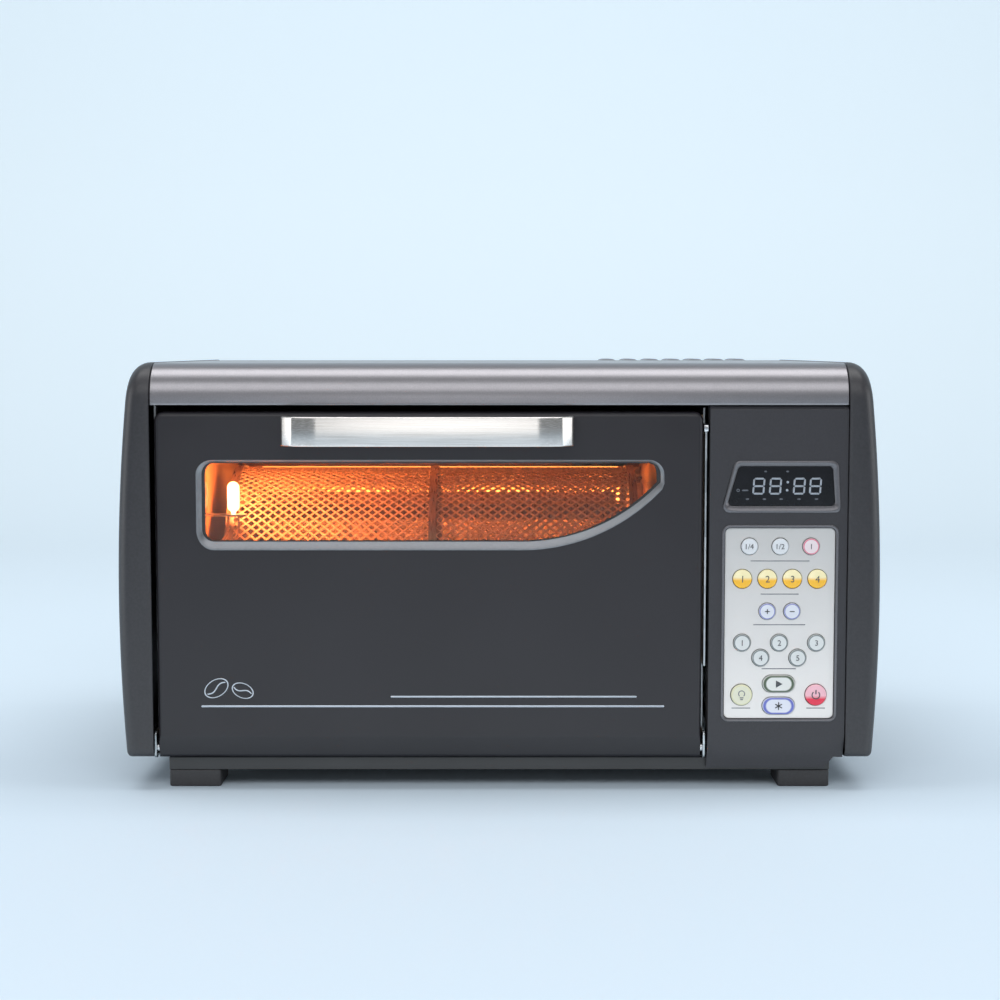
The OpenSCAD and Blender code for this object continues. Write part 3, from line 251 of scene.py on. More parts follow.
def finish_piece(piece, node, material, stands_for=()):
    """Give a piece its material, and the body of the node that it belongs to.
    stands_for names the CAD nodes that it is shown instead of."""
    piece.data.materials.clear()
    piece.data.materials.append(material)
    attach(piece, BODY_OF[node])
    if stands_for:
        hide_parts(*stands_for)
    print(piece.name, len(piece.data.vertices), "points")
    return piece


def stand_in(piece, node, material):
    """The piece is shown instead of the node."""
    return finish_piece(piece, node, material, (node,))


# %% [markdown]
# Many parts need no new shape, only edges that catch the light as real ones do. The CAD mesh is
# loose triangles, so a copy is merged, its flat areas are joined, and then its edges are rounded.
# Normals weighted by area keep the large faces truly flat, which reflections in glass show at once.

# %% A finer copy of a CAD part
def finer_copy(node, width, material, segments=2, angle=30):
    """A merged copy of a node with sharp edges rounded to width millimetres. It replaces the node."""
    work = bmesh.new()
    work.from_mesh(NODES[node].data)
    bmesh.ops.remove_doubles(work, verts=work.verts, dist=0.004 * MM)
    bmesh.ops.dissolve_limit(work, angle_limit=math.radians(0.4), verts=work.verts, edges=work.edges)
    data = bpy.data.meshes.new(node + "_finished")
    work.to_mesh(data)
    work.free()
    shade_smooth(data)
    piece = placed(node + "_finished", data)
    modifier(piece, "BEVEL", width=width * MM, segments=segments, limit_method="ANGLE",
             angle_limit=math.radians(angle), use_clamp_overlap=True, harden_normals=True)
    modifier(piece, "WEIGHTED_NORMAL", keep_sharp=True, weight=100)
    return stand_in(piece, node, material)

# %% [markdown]
# ## Finishes
# Each finish starts from what the real one is. The body is steel with a satin powder coat, whose
# cured grains leave a faint orange peel. The side panels are moulded ABS with a spark-eroded grain.

# %% Painted steel and moulded plastic
powder_coat = new_material("charcoal_powder_coat_steel", "#211f24", 0.42, IOR=1.5,
                           Specular_IOR_Level=0.4)
relief(powder_coat, noise(powder_coat, 0.9, detail=2), 0.05, 0.35)
vary_roughness(powder_coat, noise(powder_coat, 30), 0.37, 0.45)
tint(powder_coat, noise(powder_coat, 60), "#1f1d22", "#232126")

cover_coat = new_material("satin_graphite_metallic_lacquer", "#8a888c", 0.31, metallic=0.8, IOR=1.5)
vary_roughness(cover_coat, noise(cover_coat, 6), 0.3, 0.33)
tint(cover_coat, noise(cover_coat, 0.7, detail=2), "#868488", "#8e8c90")
relief(cover_coat, noise(cover_coat, 0.7, detail=2), 0.01, 0.2)

black_paint = new_material("satin_black_paint", "#29292b", 0.45, IOR=1.5)
relief(black_paint, noise(black_paint, 1.2), 0.04, 0.4)
tint(black_paint, noise(black_paint, 40), "#262628", "#2d2d2f")


def grained_plastic(name, colour, dark, roughness, grain=0.7):
    """Moulded plastic with a spark-eroded grain: raised cells about grain millimetres wide."""
    material = new_material(name, colour, roughness, IOR=1.46)
    relief(material, noise(material, grain, detail=4, roughness=0.65), 0.09, 0.55)
    tint(material, noise(material, grain * 2, detail=2), dark, colour)
    return material


side_abs = grained_plastic("grained_charcoal_abs", "#333236", "#2c2c2f", 0.4)
fascia_abs = grained_plastic("grained_dark_grey_abs", "#313035", "#2d2c30", 0.48, 0.5)
black_abs = grained_plastic("grained_black_abs", "#2b2b2d", "#262628", 0.5)
foot_rubber = grained_plastic("moulded_black_foot", "#353436", "#2f2e30", 0.55)
fan_nylon = grained_plastic("black_glass_filled_nylon", "#2c2d30", "#26272a", 0.45)


# %% [markdown]
# Bare metals differ by how they were made: galvanised sheet shows its zinc spangle, the chamber is
# rolled stainless that has coloured with heat, and the handle is brushed along its length.

# %% Bare metals
def rolled_metal(name, colour, dark, roughness, stretch=(20, 1, 1), line=0.4, depth=0.02,
                 metallic=1.0):
    """Metal with fine lines along one axis: line millimetres apart, stretched along the axis."""
    material = new_material(name, colour, roughness, metallic)
    lines = noise(material, line, stretch=stretch, detail=2)
    tint(material, lines, dark, colour)
    vary_roughness(material, lines, roughness * 0.85, roughness * 1.2)
    relief(material, lines, depth, 0.5)
    return material


brushed_steel = rolled_metal("brushed_stainless_steel", "#dcd9d6", "#c4c0bc", 0.22, (90, 1, 1),
                             0.35, 0.01)
chamber_steel = rolled_metal("heat_tinted_stainless_steel", "#bda489", "#a18a70", 0.5, (12, 1, 1), 1.2,
                             metallic=0.6)
tray_steel = rolled_metal("plain_stainless_sheet", "#bfc0c2", "#9fa0a3", 0.34)
mirror_steel = rolled_metal("bright_annealed_steel", "#e2e3e6", "#cfd0d4", 0.12)
hinge_steel = rolled_metal("turned_pin_steel", "#d5d6d9", "#b5b6ba", 0.22, (1, 6, 6))
drive_steel = rolled_metal("zinc_plated_steel", "#b4b7bb", "#93969b", 0.32)
guard_wire = rolled_metal("nickel_plated_wire", "#c8c5be", "#a39f97", 0.25, (1, 1, 12))
net_steel = rolled_metal("drum_net_stainless", "#f2e8da", "#d2c2ac", 0.6, (3, 1, 1), 1.0, metallic=0.5)
satin_aluminium = rolled_metal("satin_aluminium_trim", "#86888c", "#7a7c80", 0.42, (6, 1, 6), 0.6, 0.01)
drum_steel = rolled_metal("drum_end_stainless", "#cdc7be", "#a69c8f", 0.3, (1, 8, 8), 0.8)

zinc = new_material("galvanised_steel", "#a9adb1", 0.38, metallic=1.0)
zinc_place = add_node(zinc, "ShaderNodeTexCoord").outputs["Object"]
spangle = add_node(zinc, "ShaderNodeTexVoronoi", {"Vector": zinc_place, "Scale": 1 / (9 * MM)})
tint(zinc, spangle.outputs["Color"], "#8f9498", "#b9bdc1", 0.2, 0.8)
vary_roughness(zinc, spangle.outputs["Color"], 0.3, 0.46)

# %% [markdown]
# The glowing things carry their own light: the quartz tubes are orange hot, and the small lamp at
# the left wall is nearly white. Both show a brighter core, where the filament runs.

# %% Glowing and clear things
def glow(name, colour, edge, strength):
    """A glowing material, brighter where the surface faces the eye, as a filament in a tube is."""
    material = new_material(name, colour, 0.2)
    facing = add_node(material, "ShaderNodeLayerWeight", {"Blend": 0.35}).outputs["Facing"]
    ramp = add_node(material, "ShaderNodeValToRGB", {"Fac": facing})
    ramp.color_ramp.elements[0].color, ramp.color_ramp.elements[1].color = linear(colour), linear(edge)
    feed(material, "Emission Color", ramp.outputs["Color"])
    shader_of(material).inputs["Emission Strength"].default_value = strength
    return material


quartz_glow = glow("glowing_quartz_tube", "#ffb060", "#ff7a1e", 6.0)
lamp_glow = glow("glowing_halogen_capsule", "#fff4dc", "#ffb45a", 7.0)

door_pane = new_material("warm_tinted_borosilicate", "#f3d2b0", 0.03, IOR=1.47)
shader_of(door_pane).inputs["Transmission Weight"].default_value = 1.0
tint(door_pane, noise(door_pane, 60), "#f1cfac", "#f5d6b5")

display_black = new_material("smoked_acrylic", "#18181b", 0.12, IOR=1.49, Specular_IOR_Level=0.35)
tint(display_black, noise(display_black, 12), "#161619", "#1b1b1f")
bezel_grey = grained_plastic("satin_grey_bezel", "#69686c", "#605f63", 0.28, 0.5)
shader_of(bezel_grey).inputs["Metallic"].default_value = 0.5

ceramic = new_material("steatite_ceramic", "#e4dccb", 0.55, IOR=1.6)
tint(ceramic, noise(ceramic, 3), "#d8cdb9", "#ebe4d5")
relief(ceramic, noise(ceramic, 0.8), 0.05, 0.4)

board_green = new_material("solder_masked_fibreglass", "#1f5a3c", 0.35, IOR=1.55)
board_place = add_node(board_green, "ShaderNodeTexCoord").outputs["Object"]
tracks = add_node(board_green, "ShaderNodeTexBrick",
                  {"Vector": board_place, "Scale": 1 / (26 * MM), "Color1": linear("#1f5a3c"),
                   "Color2": linear("#236443"), "Mortar": linear("#3f8a58"), "Mortar Size": 0.03})
feed(board_green, "Base Color", tracks.outputs["Color"])

# %% [markdown]
# The keypad is a screen-printed overlay in silver grey, a little lighter towards its foot. Most keys
# have a pale face with a printed ring, so their colour follows the distance from the middle, which
# each key carries as an attribute called rim (0 in the middle, 1 at the edge). The amber keys and the
# power key are deep in colour in their lower half and pale above: the pale half is a painted highlight.

# %% Keypad and key finishes
pad_silver = new_material("silver_printed_overlay", "#c3c5c8", 0.4, metallic=0.25, IOR=1.5)
tint(pad_silver, share_along(pad_silver, "Z", 42, 152), "#ebe6e3", "#c8c6c4", 0.0, 1.0)
relief(pad_silver, noise(pad_silver, 0.5), 0.02, 0.25)


def key_finish(name, face, ring, inner=0.62, outer=0.8, roughness=0.3):
    """A printed key: face colour in the middle, ring colour from inner to outer, face beyond it."""
    material = new_material(name, face, roughness, IOR=1.49, Coat_Weight=0.4, Coat_Roughness=0.15)
    rim = add_node(material, "ShaderNodeAttribute", attribute_name="rim").outputs["Fac"]
    ramp = add_node(material, "ShaderNodeValToRGB", {"Fac": rim})
    stops = ramp.color_ramp.elements
    stops[0].position, stops[0].color = inner - 0.04, linear(face)
    stops[1].position, stops[1].color = inner + 0.04, linear(ring)
    for position, colour in ((outer - 0.03, ring), (outer + 0.05, face)):
        stop = stops.new(position)
        stop.color = linear(colour)
    feed(material, "Base Color", ramp.outputs["Color"])
    relief(material, noise(material, 0.6), 0.01, 0.2)
    return material


THIN_RING = (0.84, 0.95)
white_key = key_finish("white_printed_key", "#e0e2e5", "#d6d9dd", *THIN_RING)
red_ring_key = key_finish("white_key_with_red_ring", "#ecdcdf", "#dd5f80", *THIN_RING)
blue_ring_key = key_finish("white_key_with_violet_ring", "#dfe1ea", "#7077ba", *THIN_RING)
grey_ring_key = key_finish("white_key_with_grey_ring", "#dcdedd", "#58666a", *THIN_RING)
start_key = key_finish("white_key_with_green_ring", "#e6e6e2", "#3f5238", 0.78, 0.95)
cool_key = key_finish("white_key_with_blue_ring", "#e4e5f0", "#6069c0", 0.78, 0.95)
lamp_key = key_finish("ivory_key", "#e6e4cc", "#e2dfb8", *THIN_RING)


def key_with_painted_highlight(name, lower, highlight_colour, z0, z1):
    """A key deep in colour in its lower half, with a painted highlight above and a quick change
    between.
    """
    material = new_material(name, lower, 0.25, IOR=1.49, Coat_Weight=0.5, Coat_Roughness=0.1)
    tint(material, share_along(material, "Z", z0, z1), lower, highlight_colour, 0.4, 0.58)
    return material


# The pale upper colour of each of these keys is a painted highlight.
amber_key = key_with_painted_highlight("amber_domed_key", "#ffbe00", "#fff2c0", 118, 128)
power_key = key_with_painted_highlight("red_key", "#e8103f", "#f8bcc8", 48.5, 60.5)


# %% [markdown]
# ## Outlines
# Most covers and doors start as a flat outline with rounded corners. The door's pressed window and
# the door's own edge both go round the same middle, so points on both are found along the same
# rays: then the sheet between them is a clean fan of quads.

# %% Outline tools
def arc_points(centre, radius, start, stop, count):
    """Points of an arc: centre + radius (cos a, sin a), a from start to stop in degrees."""
    a = np.radians(np.linspace(start, stop, count))
    return np.stack([centre[0] + radius * np.cos(a), centre[1] + radius * np.sin(a)], -1)


def rounded_corners(corners, radii, count=8):
    """A closed outline, anticlockwise, with each corner replaced by a tangent arc of its radius."""
    corners, out = np.asarray(corners, float), []
    for i, p in enumerate(corners):
        if radii[i] == 0:
            out.append(p[None])
            continue
        u, v = (q - p for q in (corners[i - 1], corners[(i + 1) % len(corners)]))
        u, v = u / np.linalg.norm(u), v / np.linalg.norm(v)
        half = math.acos(np.clip(u @ v, -1, 1)) / 2
        middle = p + (u + v) / np.linalg.norm(u + v) * radii[i] / math.sin(half)
        first = p + u * radii[i] / math.tan(half) - middle
        last = p + v * radii[i] / math.tan(half) - middle
        start = math.degrees(math.atan2(first[1], first[0]))
        turn = (math.degrees(math.atan2(last[1], last[0])) - start + 540) % 360 - 180
        out.append(arc_points(middle, radii[i], start, start + turn, count))
    return np.concatenate(out)


def box_corners(x0, z0, x1, z1):
    return [(x0, z0), (x1, z0), (x1, z1), (x0, z1)]


def along_rays(outline, middle, angles):
    """Where rays from middle at the angles meet a closed outline that bulges everywhere.
    On the side from a to b the ray d meets it at a + t (b - a), t = (a x d) / (a x d - b x d)."""
    a = outline - middle
    turn = np.unwrap(np.arctan2(a[:, 1], a[:, 0]))
    turn = np.append(turn, turn[0] + 2 * math.pi)
    a = np.vstack([a, a[:1]])
    wanted = turn[0] + (angles - turn[0]) % (2 * math.pi)
    k = np.clip(np.searchsorted(turn, wanted, "right") - 1, 0, len(outline) - 1)
    d = np.stack([np.cos(wanted), np.sin(wanted)], -1)
    cross_a = a[k, 0] * d[:, 1] - a[k, 1] * d[:, 0]
    cross_b = a[k + 1, 0] * d[:, 1] - a[k + 1, 1] * d[:, 0]
    t = cross_a / np.where(np.abs(cross_a - cross_b) < 1e-12, 1e-12, cross_a - cross_b)
    return middle + a[k] + t[:, None] * (a[k + 1] - a[k])


def ray_angles(middle, *outlines):
    """The angles at which any of the outlines has a point, sorted, with near repeats dropped."""
    found = np.concatenate([np.arctan2(*(o - middle).T[::-1]) for o in outlines])
    found = np.sort(found % (2 * math.pi))
    return found[np.append(True, np.diff(found) > 2e-4)]


def outward(ring):
    """Unit normals of a closed anticlockwise ring: its direction turned a quarter to the right."""
    step = np.roll(ring, -1, 0) - np.roll(ring, 1, 0)
    normal = np.stack([step[:, 1], -step[:, 0]], -1)
    return normal / np.linalg.norm(normal, axis=1)[:, None]


def lift(ring, y):
    """Stand a flat ring of (x, z) up in the frame, at depth y."""
    return np.stack([ring[:, 0], np.broadcast_to(y, len(ring)), ring[:, 1]], -1)


# %% [markdown]
# ## The door
# The door is one pressed sheet. Around the window it is pushed in to a narrow slope, wide along the
# foot and hardly there on top. Its top and sides are rolled over with a 3 mm radius, and its foot is
# folded back by a few degrees. The window is straight on top and sweeps up at the lower right.

# %% The door's measures
SHEET = 1.2
door_low, door_high = size_of("door_skin")
DOOR_FACE = door_low[1]
DOOR_EDGE_R, DOOR_CORNER_R = 3.0, 5.0
APRON_H, APRON_IN, FOOT_BACK, DOOR_BACK = 13.6, 6.0, 10.5, 13.0
FOLD_Z = door_low[2] + APRON_H
WINDOW = {"x0": door_low[0] + 26.6, "x1": door_high[0] - 24.2,
          "z0": door_high[2] - 74.3, "z1": door_high[2] - 28.6}
WINDOW_R, SWEEP_W, SWEEP_RISE = 7.0, 78.8, 34.1
SLOPE = {"top": 1.3, "foot": 4.4, "left": 2.8, "right": 1.9}
GASKET = {"top": 0.6, "foot": 0.9, "left": 2.0, "right": 2.4}
window_middle = np.array([(WINDOW["x0"] + WINDOW["x1"]) / 2, (WINDOW["z0"] + WINDOW["z1"]) / 2])
door_middle_x = (door_low[0] + door_high[0]) / 2


def window_ring():
    """The window's opening: a rounded box, cut by the arc that rises SWEEP_RISE over SWEEP_W."""
    x0, x1, z0, z1 = (WINDOW[k] for k in ("x0", "x1", "z0", "z1"))
    radius = (SWEEP_W**2 + SWEEP_RISE**2) / (2 * SWEEP_RISE)
    start = (x1 - SWEEP_W, z0 + radius)
    end = math.degrees(math.asin(SWEEP_W / radius))
    sweep = arc_points(start, radius, -90, -90 + end, 40)
    top_right = arc_points((x1 - WINDOW_R, z1 - WINDOW_R), WINDOW_R, 0, 90, 10)
    top_left = arc_points((x0 + WINDOW_R, z1 - WINDOW_R), WINDOW_R, 90, 180, 10)
    foot_left = arc_points((x0 + WINDOW_R, z0 + WINDOW_R), WINDOW_R, 180, 270, 10)
    return np.concatenate([sweep, top_right, top_left, foot_left])


opening = window_ring()
face_x, face_top = (door_low[0] + DOOR_EDGE_R, door_high[0] - DOOR_EDGE_R), door_high[2] - DOOR_EDGE_R
face_edge = rounded_corners(box_corners(face_x[0], FOLD_Z, face_x[1], face_top),
                            [0, 0, DOOR_CORNER_R - DOOR_EDGE_R, DOOR_CORNER_R - DOOR_EDGE_R])
door_angles = ray_angles(window_middle, opening, face_edge)
print("door", np.round(door_high - door_low), "window rays", len(door_angles))


# %% The door's skin
def width_round(ring, widths):
    """A width that depends on where the ring faces: the four widths, shared by the normal squared."""
    n = outward(ring)
    wide = np.where(n[:, 1] > 0, widths["top"], widths["foot"]) * n[:, 1] ** 2
    return (wide + np.where(n[:, 0] > 0, widths["right"], widths["left"]) * n[:, 0] ** 2)[:, None]


def apron_depth(z):
    """How far the face leans back at height z: nothing above the fold, APRON_IN at the door's foot."""
    return APRON_IN * np.clip((FOLD_Z - z) / (FOLD_Z - door_low[2]), 0, 1)


def door_face():
    """Rings from the window's inner wall over the slope to the edge of the flat face."""
    ring = along_rays(opening, window_middle, door_angles)
    normal, wide = outward(ring), width_round(ring, SLOPE)
    steps = [(0.0, 3.6), (0.0, 2.2), (0.0, 1.75), (0.12, 1.5), (0.5, 0.75), (0.88, 0.1), (1.0, 0.0)]
    rings = [lift(ring + normal * wide * share, DOOR_FACE + depth) for share, depth in steps]
    edge = along_rays(face_edge, window_middle, door_angles)
    foot = ring + normal * wide
    rings += [lift(foot + (edge - foot) * t, DOOR_FACE) for t in (0.04, 0.5, 1.0)]
    return np.concatenate(rings), grid_faces(len(rings), len(ring), close_cols=True)


def door_roll():
    """The rolled edge: a quarter circle, then a straight run back, carried up one side, over the
    top and down the other. Below the fold it also leans back with the apron."""
    edge = along_rays(face_edge, window_middle, door_angles)
    side = edge[:, 1] > FOLD_Z + 1e-6
    first = np.flatnonzero(side & ~np.roll(side, 1))[0]
    path = np.roll(edge, -first, 0)[: side.sum()]
    left, right = face_x
    low = np.linspace(door_low[2], FOLD_Z, 9)
    path = np.vstack([np.stack([np.full(9, right), low], -1), path,
                      np.stack([np.full(9, left), low[::-1]], -1)])
    normal = np.zeros_like(path)
    corner_z = door_high[2] - DOOR_CORNER_R
    for middle, sign in ((np.array([left + 2, corner_z]), -1), (np.array([right - 2, corner_z]), 1)):
        near = (path[:, 1] > middle[1]) & (sign * (path[:, 0] - middle[0]) > 0)
        normal[near] = path[near] - middle
    normal[(normal == 0).all(1) & (path[:, 1] >= face_top - 0.01)] = (0, 1)
    flat = (normal == 0).all(1)
    normal[flat, 0] = np.sign(path[flat, 0] - door_middle_x)
    normal /= np.linalg.norm(normal, axis=1)[:, None]
    a = np.radians(np.linspace(0, 90, 9))
    out = np.append(DOOR_EDGE_R * np.sin(a), DOOR_EDGE_R)
    back = np.append(DOOR_EDGE_R * (1 - np.cos(a)), DOOR_BACK)
    place = path[:, None] + normal[:, None] * out[None, :, None]
    depth = np.maximum(back[None], apron_depth(path[:, 1])[:, None])
    down = np.clip((FOLD_Z + 2 - path[:, 1]) / (APRON_H + 2), 0, 1)
    depth[:, -1] = DOOR_BACK + (FOOT_BACK - DOOR_BACK) * down
    points = np.stack([place[..., 0], DOOR_FACE + depth, place[..., 1]], -1)
    return points.reshape(-1, 3), grid_faces(len(path), len(out))


def door_apron():
    """The leaning strip under the fold and the short floor behind it, between the rolled sides."""
    edge = along_rays(face_edge, window_middle, door_angles)
    x = np.sort(edge[edge[:, 1] < FOLD_Z + 1e-6, 0])
    z = np.append(np.linspace(FOLD_Z, door_low[2], 9), [door_low[2], door_low[2] + 15])
    y = np.append(apron_depth(z[:9]), [FOOT_BACK, DOOR_BACK])
    points = np.stack(np.broadcast_arrays(x[None], DOOR_FACE + y[:, None], z[:, None]), -1)
    return points.reshape(-1, 3), grid_faces(len(z), len(x))


parts, faces = [], []
for points, quads in (door_face(), door_roll(), door_apron()):
    start = sum(len(p) for p in parts)
    parts.append(points)
    faces += (np.array(quads) + start).tolist()
door_skin = build("door_pressed_skin", np.concatenate(parts), faces, (0, -1, 0), weld=0.02)
sharpen(door_skin, 24)
modifier(door_skin, "SOLIDIFY", thickness=SHEET * MM, offset=-1, use_rim=True)
modifier(door_skin, "WEIGHTED_NORMAL", keep_sharp=True, weight=100)
stand_in(door_skin, "door_skin", powder_coat)

# %% [markdown]
# A thin band of satin aluminium lies on the pressed slope: it faces up along the foot and along the
# sweep, so it catches the light from above there. Inside it a black seal lies on the glass.

# %% The window's bright band and its seal
window_edge = along_rays(opening, window_middle, door_angles)
edge_normal, slope = outward(window_edge), width_round(window_edge, SLOPE)
BAND_STEPS = [(-0.03, 2.3), (-0.03, 1.62), (0.08, 1.4), (0.5, 0.6), (0.88, -0.03), (1.0, -0.12),
              (1.06, -0.02)]
band = [lift(window_edge + edge_normal * slope * share, DOOR_FACE + depth)
        for share, depth in BAND_STEPS]
window_band = build("window_bright_band", np.concatenate(band),
                    grid_faces(len(band), len(window_edge), close_cols=True), (0, -1, 0))
sharpen(window_band, 50)
modifier(window_band, "SOLIDIFY", thickness=0.1 * MM, offset=-1, use_rim=True)
finish_piece(window_band, "door_skin", satin_aluminium)

seal_width = width_round(window_edge, GASKET)
SEAL_STEPS = [(0, 0.3, 1.95), (1, 0.4, 1.95), (1, 0, 2.1), (1, 0, 2.38), (0, 0.3, 2.38)]
seal = [lift(window_edge - edge_normal * (seal_width * share - extra), DOOR_FACE + depth)
        for share, extra, depth in SEAL_STEPS]
window_seal = build("window_black_seal", np.concatenate(seal),
                    grid_faces(len(seal), len(window_edge), close_rows=True, close_cols=True))
sharpen(window_seal, 50)
finish_piece(window_seal, "door_skin", black_abs)

# %% [markdown]
# ## The handle
# The handle is a strap of stainless steel with angled ends, brushed along its length. Its section,
# a flat bar with rounded edges, is carried along the strap's line as seen from above.

# %% The handle's strap
def strap_line(half, reach, cut=7.0, ease=12.0):
    """The strap's outer line seen from above: two legs, angled ends and a very slight bend."""
    right = [(half - cut - ease, -reach), (half - cut, -reach + 2), (half, -reach + 2 + cut), (half, 0)]
    return np.array([(-x, y) for x, y in right[::-1]] + right)


def soft_line(line, radius, count=6):
    """An open line whose inner corners are replaced by arcs that touch both neighbours."""
    out = [line[:1]]
    for a, p, b in zip(line[:-2], line[1:-1], line[2:]):
        u, v = (a - p) / np.linalg.norm(a - p), (b - p) / np.linalg.norm(b - p)
        t = np.linspace(0, 1, count)[:, None]
        out.append((1 - t) ** 2 * (p + u * radius) + 2 * t * (1 - t) * p + t**2 * (p + v * radius))
    return np.concatenate([*out, line[-1:]])


def carried_section(line, section):
    """Carry a closed section along a flat line: point = line + normal * section x, z = section y."""
    step = np.gradient(line, axis=0)
    step /= np.linalg.norm(step, axis=1)[:, None]
    normal = np.stack([step[:, 1], -step[:, 0]], -1)
    place = line[:, None] + normal[:, None] * section[None, :, :1]
    z = np.broadcast_to(section[None, :, 1:], (*place.shape[:2], 1))
    return np.concatenate([place, z], -1)


handle_low, handle_high = size_of("door_handle")
HANDLE_T, HANDLE_EDGE = 3.0, 0.7
strap = strap_line((handle_high[0] - handle_low[0]) / 2, DOOR_FACE - handle_low[1])
strap = soft_line(strap, 2.2) + [(handle_low[0] + handle_high[0]) / 2, DOOR_FACE]
section = rounded_corners(box_corners(-HANDLE_T, handle_low[2], 0, handle_high[2]),
                          [HANDLE_EDGE] * 4, 5)
tube = carried_section(strap, section)
handle = build("door_handle_strap", tube.reshape(-1, 3), closed_tube(len(strap), len(section)))
sharpen(handle, 60)
stand_in(handle, "door_handle", brushed_steel)


# %% [markdown]
# ## The top cover
# The cover is one sheet, bent over a 20 mm radius at the front and hemmed under at its foot. Its
# line as seen from the side is carried from one side panel to the other. Where the fan blows out,
# 21 slots are cut in it, each under a small pressed hood that opens to the rear.

# %% The cover's sheet
cover_low, cover_high = size_of("top_cover")
COVER_TOP, COVER_FOOT = cover_high[2] - 2.0, cover_low[2]
COVER_R, COVER_REAR_R, LIP_D, COVER_FLANGE = 20.0, 5.0, 10.0, 12.0
LOUVRE_W, LOUVRE_L, LOUVRE_H, LOUVRE_PITCH = 11.0, 7.0, 1.3, 15.0
fan_low, fan_high = size_of("exhaust_fan_frame")
fan_x, fan_y = (fan_low[:2] + fan_high[:2]) / 2
louvre_x = fan_x + LOUVRE_PITCH * (np.arange(7) - 3)
louvre_y = fan_y + LOUVRE_PITCH * (np.arange(3) - 1)

slot_x = np.sort(np.concatenate([louvre_x - LOUVRE_W / 2 + 1, louvre_x + LOUVRE_W / 2 - 1]))
slot_y = np.sort(np.concatenate([louvre_y - 1.5, louvre_y + 3]))
front = arc_points((cover_low[1] + COVER_R, COVER_TOP - COVER_R), COVER_R, 180, 90, 25)
rear = arc_points((cover_high[1] - COVER_REAR_R, COVER_TOP - COVER_REAR_R), COVER_REAR_R, 90, 0, 8)
flat = np.stack([slot_y, np.full(len(slot_y), COVER_TOP)], -1)
hem = arc_points((cover_low[1] + 1.2, COVER_FOOT + 1.2), 1.2, 270, 180, 5)
line = np.concatenate([[(cover_low[1] + LIP_D, COVER_FOOT)], hem, front, flat, rear,
                       [(cover_high[1], COVER_TOP - COVER_FLANGE - 1.2)]])
stations = np.concatenate([[cover_low[0], cover_low[0] + 0.5], slot_x,
                           [cover_high[0] - 0.5, cover_high[0]]])
points = np.stack(np.broadcast_arrays(stations[:, None], line[None, :, 0], line[None, :, 1]), -1)
quads = np.array(grid_faces(len(stations), len(line)))
middle = points.reshape(-1, 3)[quads].mean(1)
in_x = (np.abs(middle[:, None, 0] - louvre_x) < LOUVRE_W / 2 - 1).any(1)
in_y = (np.abs(middle[:, None, 1] - louvre_y - 0.75) < 2.2).any(1) & (middle[:, 2] > COVER_TOP - 0.1)
cover = build("top_cover_sheet", points.reshape(-1, 3), quads[~(in_x & in_y)].tolist(), (0, -1, 1))
sharpen(cover, 30)
modifier(cover, "SOLIDIFY", thickness=SHEET * MM, offset=-1, use_rim=True)
modifier(cover, "WEIGHTED_NORMAL", keep_sharp=True, weight=100)
stand_in(cover, "top_cover", cover_coat)


# %% The louvres' hoods
def louvre_hood(x, y):
    """A pressed hood: it rises smoothly from its front edge and falls away at both ends.
    Height = LOUVRE_H (1 - u^4) s(v), u from -1 to 1 across and s a smooth step along."""
    u, v = np.meshgrid(np.linspace(-1, 1, 13), np.linspace(0, 1, 8))
    rise = np.clip(v * 1.35, 0, 1)
    height = (LOUVRE_H - 0.05) * (1 - u**4) * rise**2 * (3 - 2 * rise)
    points = [x + u * LOUVRE_W / 2, y - LOUVRE_L / 2 + v * LOUVRE_L, COVER_TOP + height]
    return np.stack(points, -1).reshape(-1, 3)


hoods = [louvre_hood(x, y) for x in louvre_x for y in louvre_y]
quads = np.array(grid_faces(8, 13))
louvres = build("top_cover_louvre_hoods", np.concatenate(hoods),
                np.concatenate([quads + i * 104 for i in range(len(hoods))]).tolist(), (0, 0, 1))
modifier(louvres, "SOLIDIFY", thickness=0.6 * MM, offset=-1, use_rim=True)
finish_piece(louvres, "top_cover", cover_coat)

# %% [markdown]
# ## The side panels
# Each side panel is a moulded shell that bulges outwards. Its outline as seen from the side is a box
# with large rounded corners. From that outline the surface turns over a shoulder: 8 mm at the front
# and rear, 10 mm on top and only 3 mm at the foot. Inside the shoulder, the surface depends on the
# height alone, so rings that shrink towards the middle make it smooth.

# %% A side panel's shell
panel_low, panel_high = size_of("side_panel_right")
PANEL_TOP = panel_high[2] - 1.6
PANEL_FOOT_R, PANEL_REAR_R, PANEL_FRONT_R = 6.0, 10.0, 21.5
SHOULDER_SIDE, SHOULDER_FOOT, SHOULDER_TOP = 8.0, 3.0, 10.0
PANEL_LIP = ((0.9, 0.0), (0.35, 0.25), (0.08, 0.9), (0.0, 1.8))
VENT_Y, VENT_PITCH, VENT_UP, VENT_W, VENT_H, VENT_R = 20, 12, 14, 6, 30, 2.8
BULGE_UP, BULGE_IN, WALL = 91.0, 6.9, 2.2
bulge_z = panel_low[2] + BULGE_UP
bulge_h = panel_high[2] - SHOULDER_TOP - bulge_z
bulge_r = (bulge_h**2 + BULGE_IN**2) / (2 * BULGE_IN)
PANEL_CORNER, PANEL_STEPS = 12, (44, 34, 40, 30)
PANEL_POINTS = 4 * PANEL_CORNER + sum(PANEL_STEPS) - 4


def bulge(z):
    """Outer face of the panel at height z: a large circle whose widest point is at bulge_z."""
    return panel_high[0] - bulge_r + np.sqrt(bulge_r**2 - (z - bulge_z) ** 2)


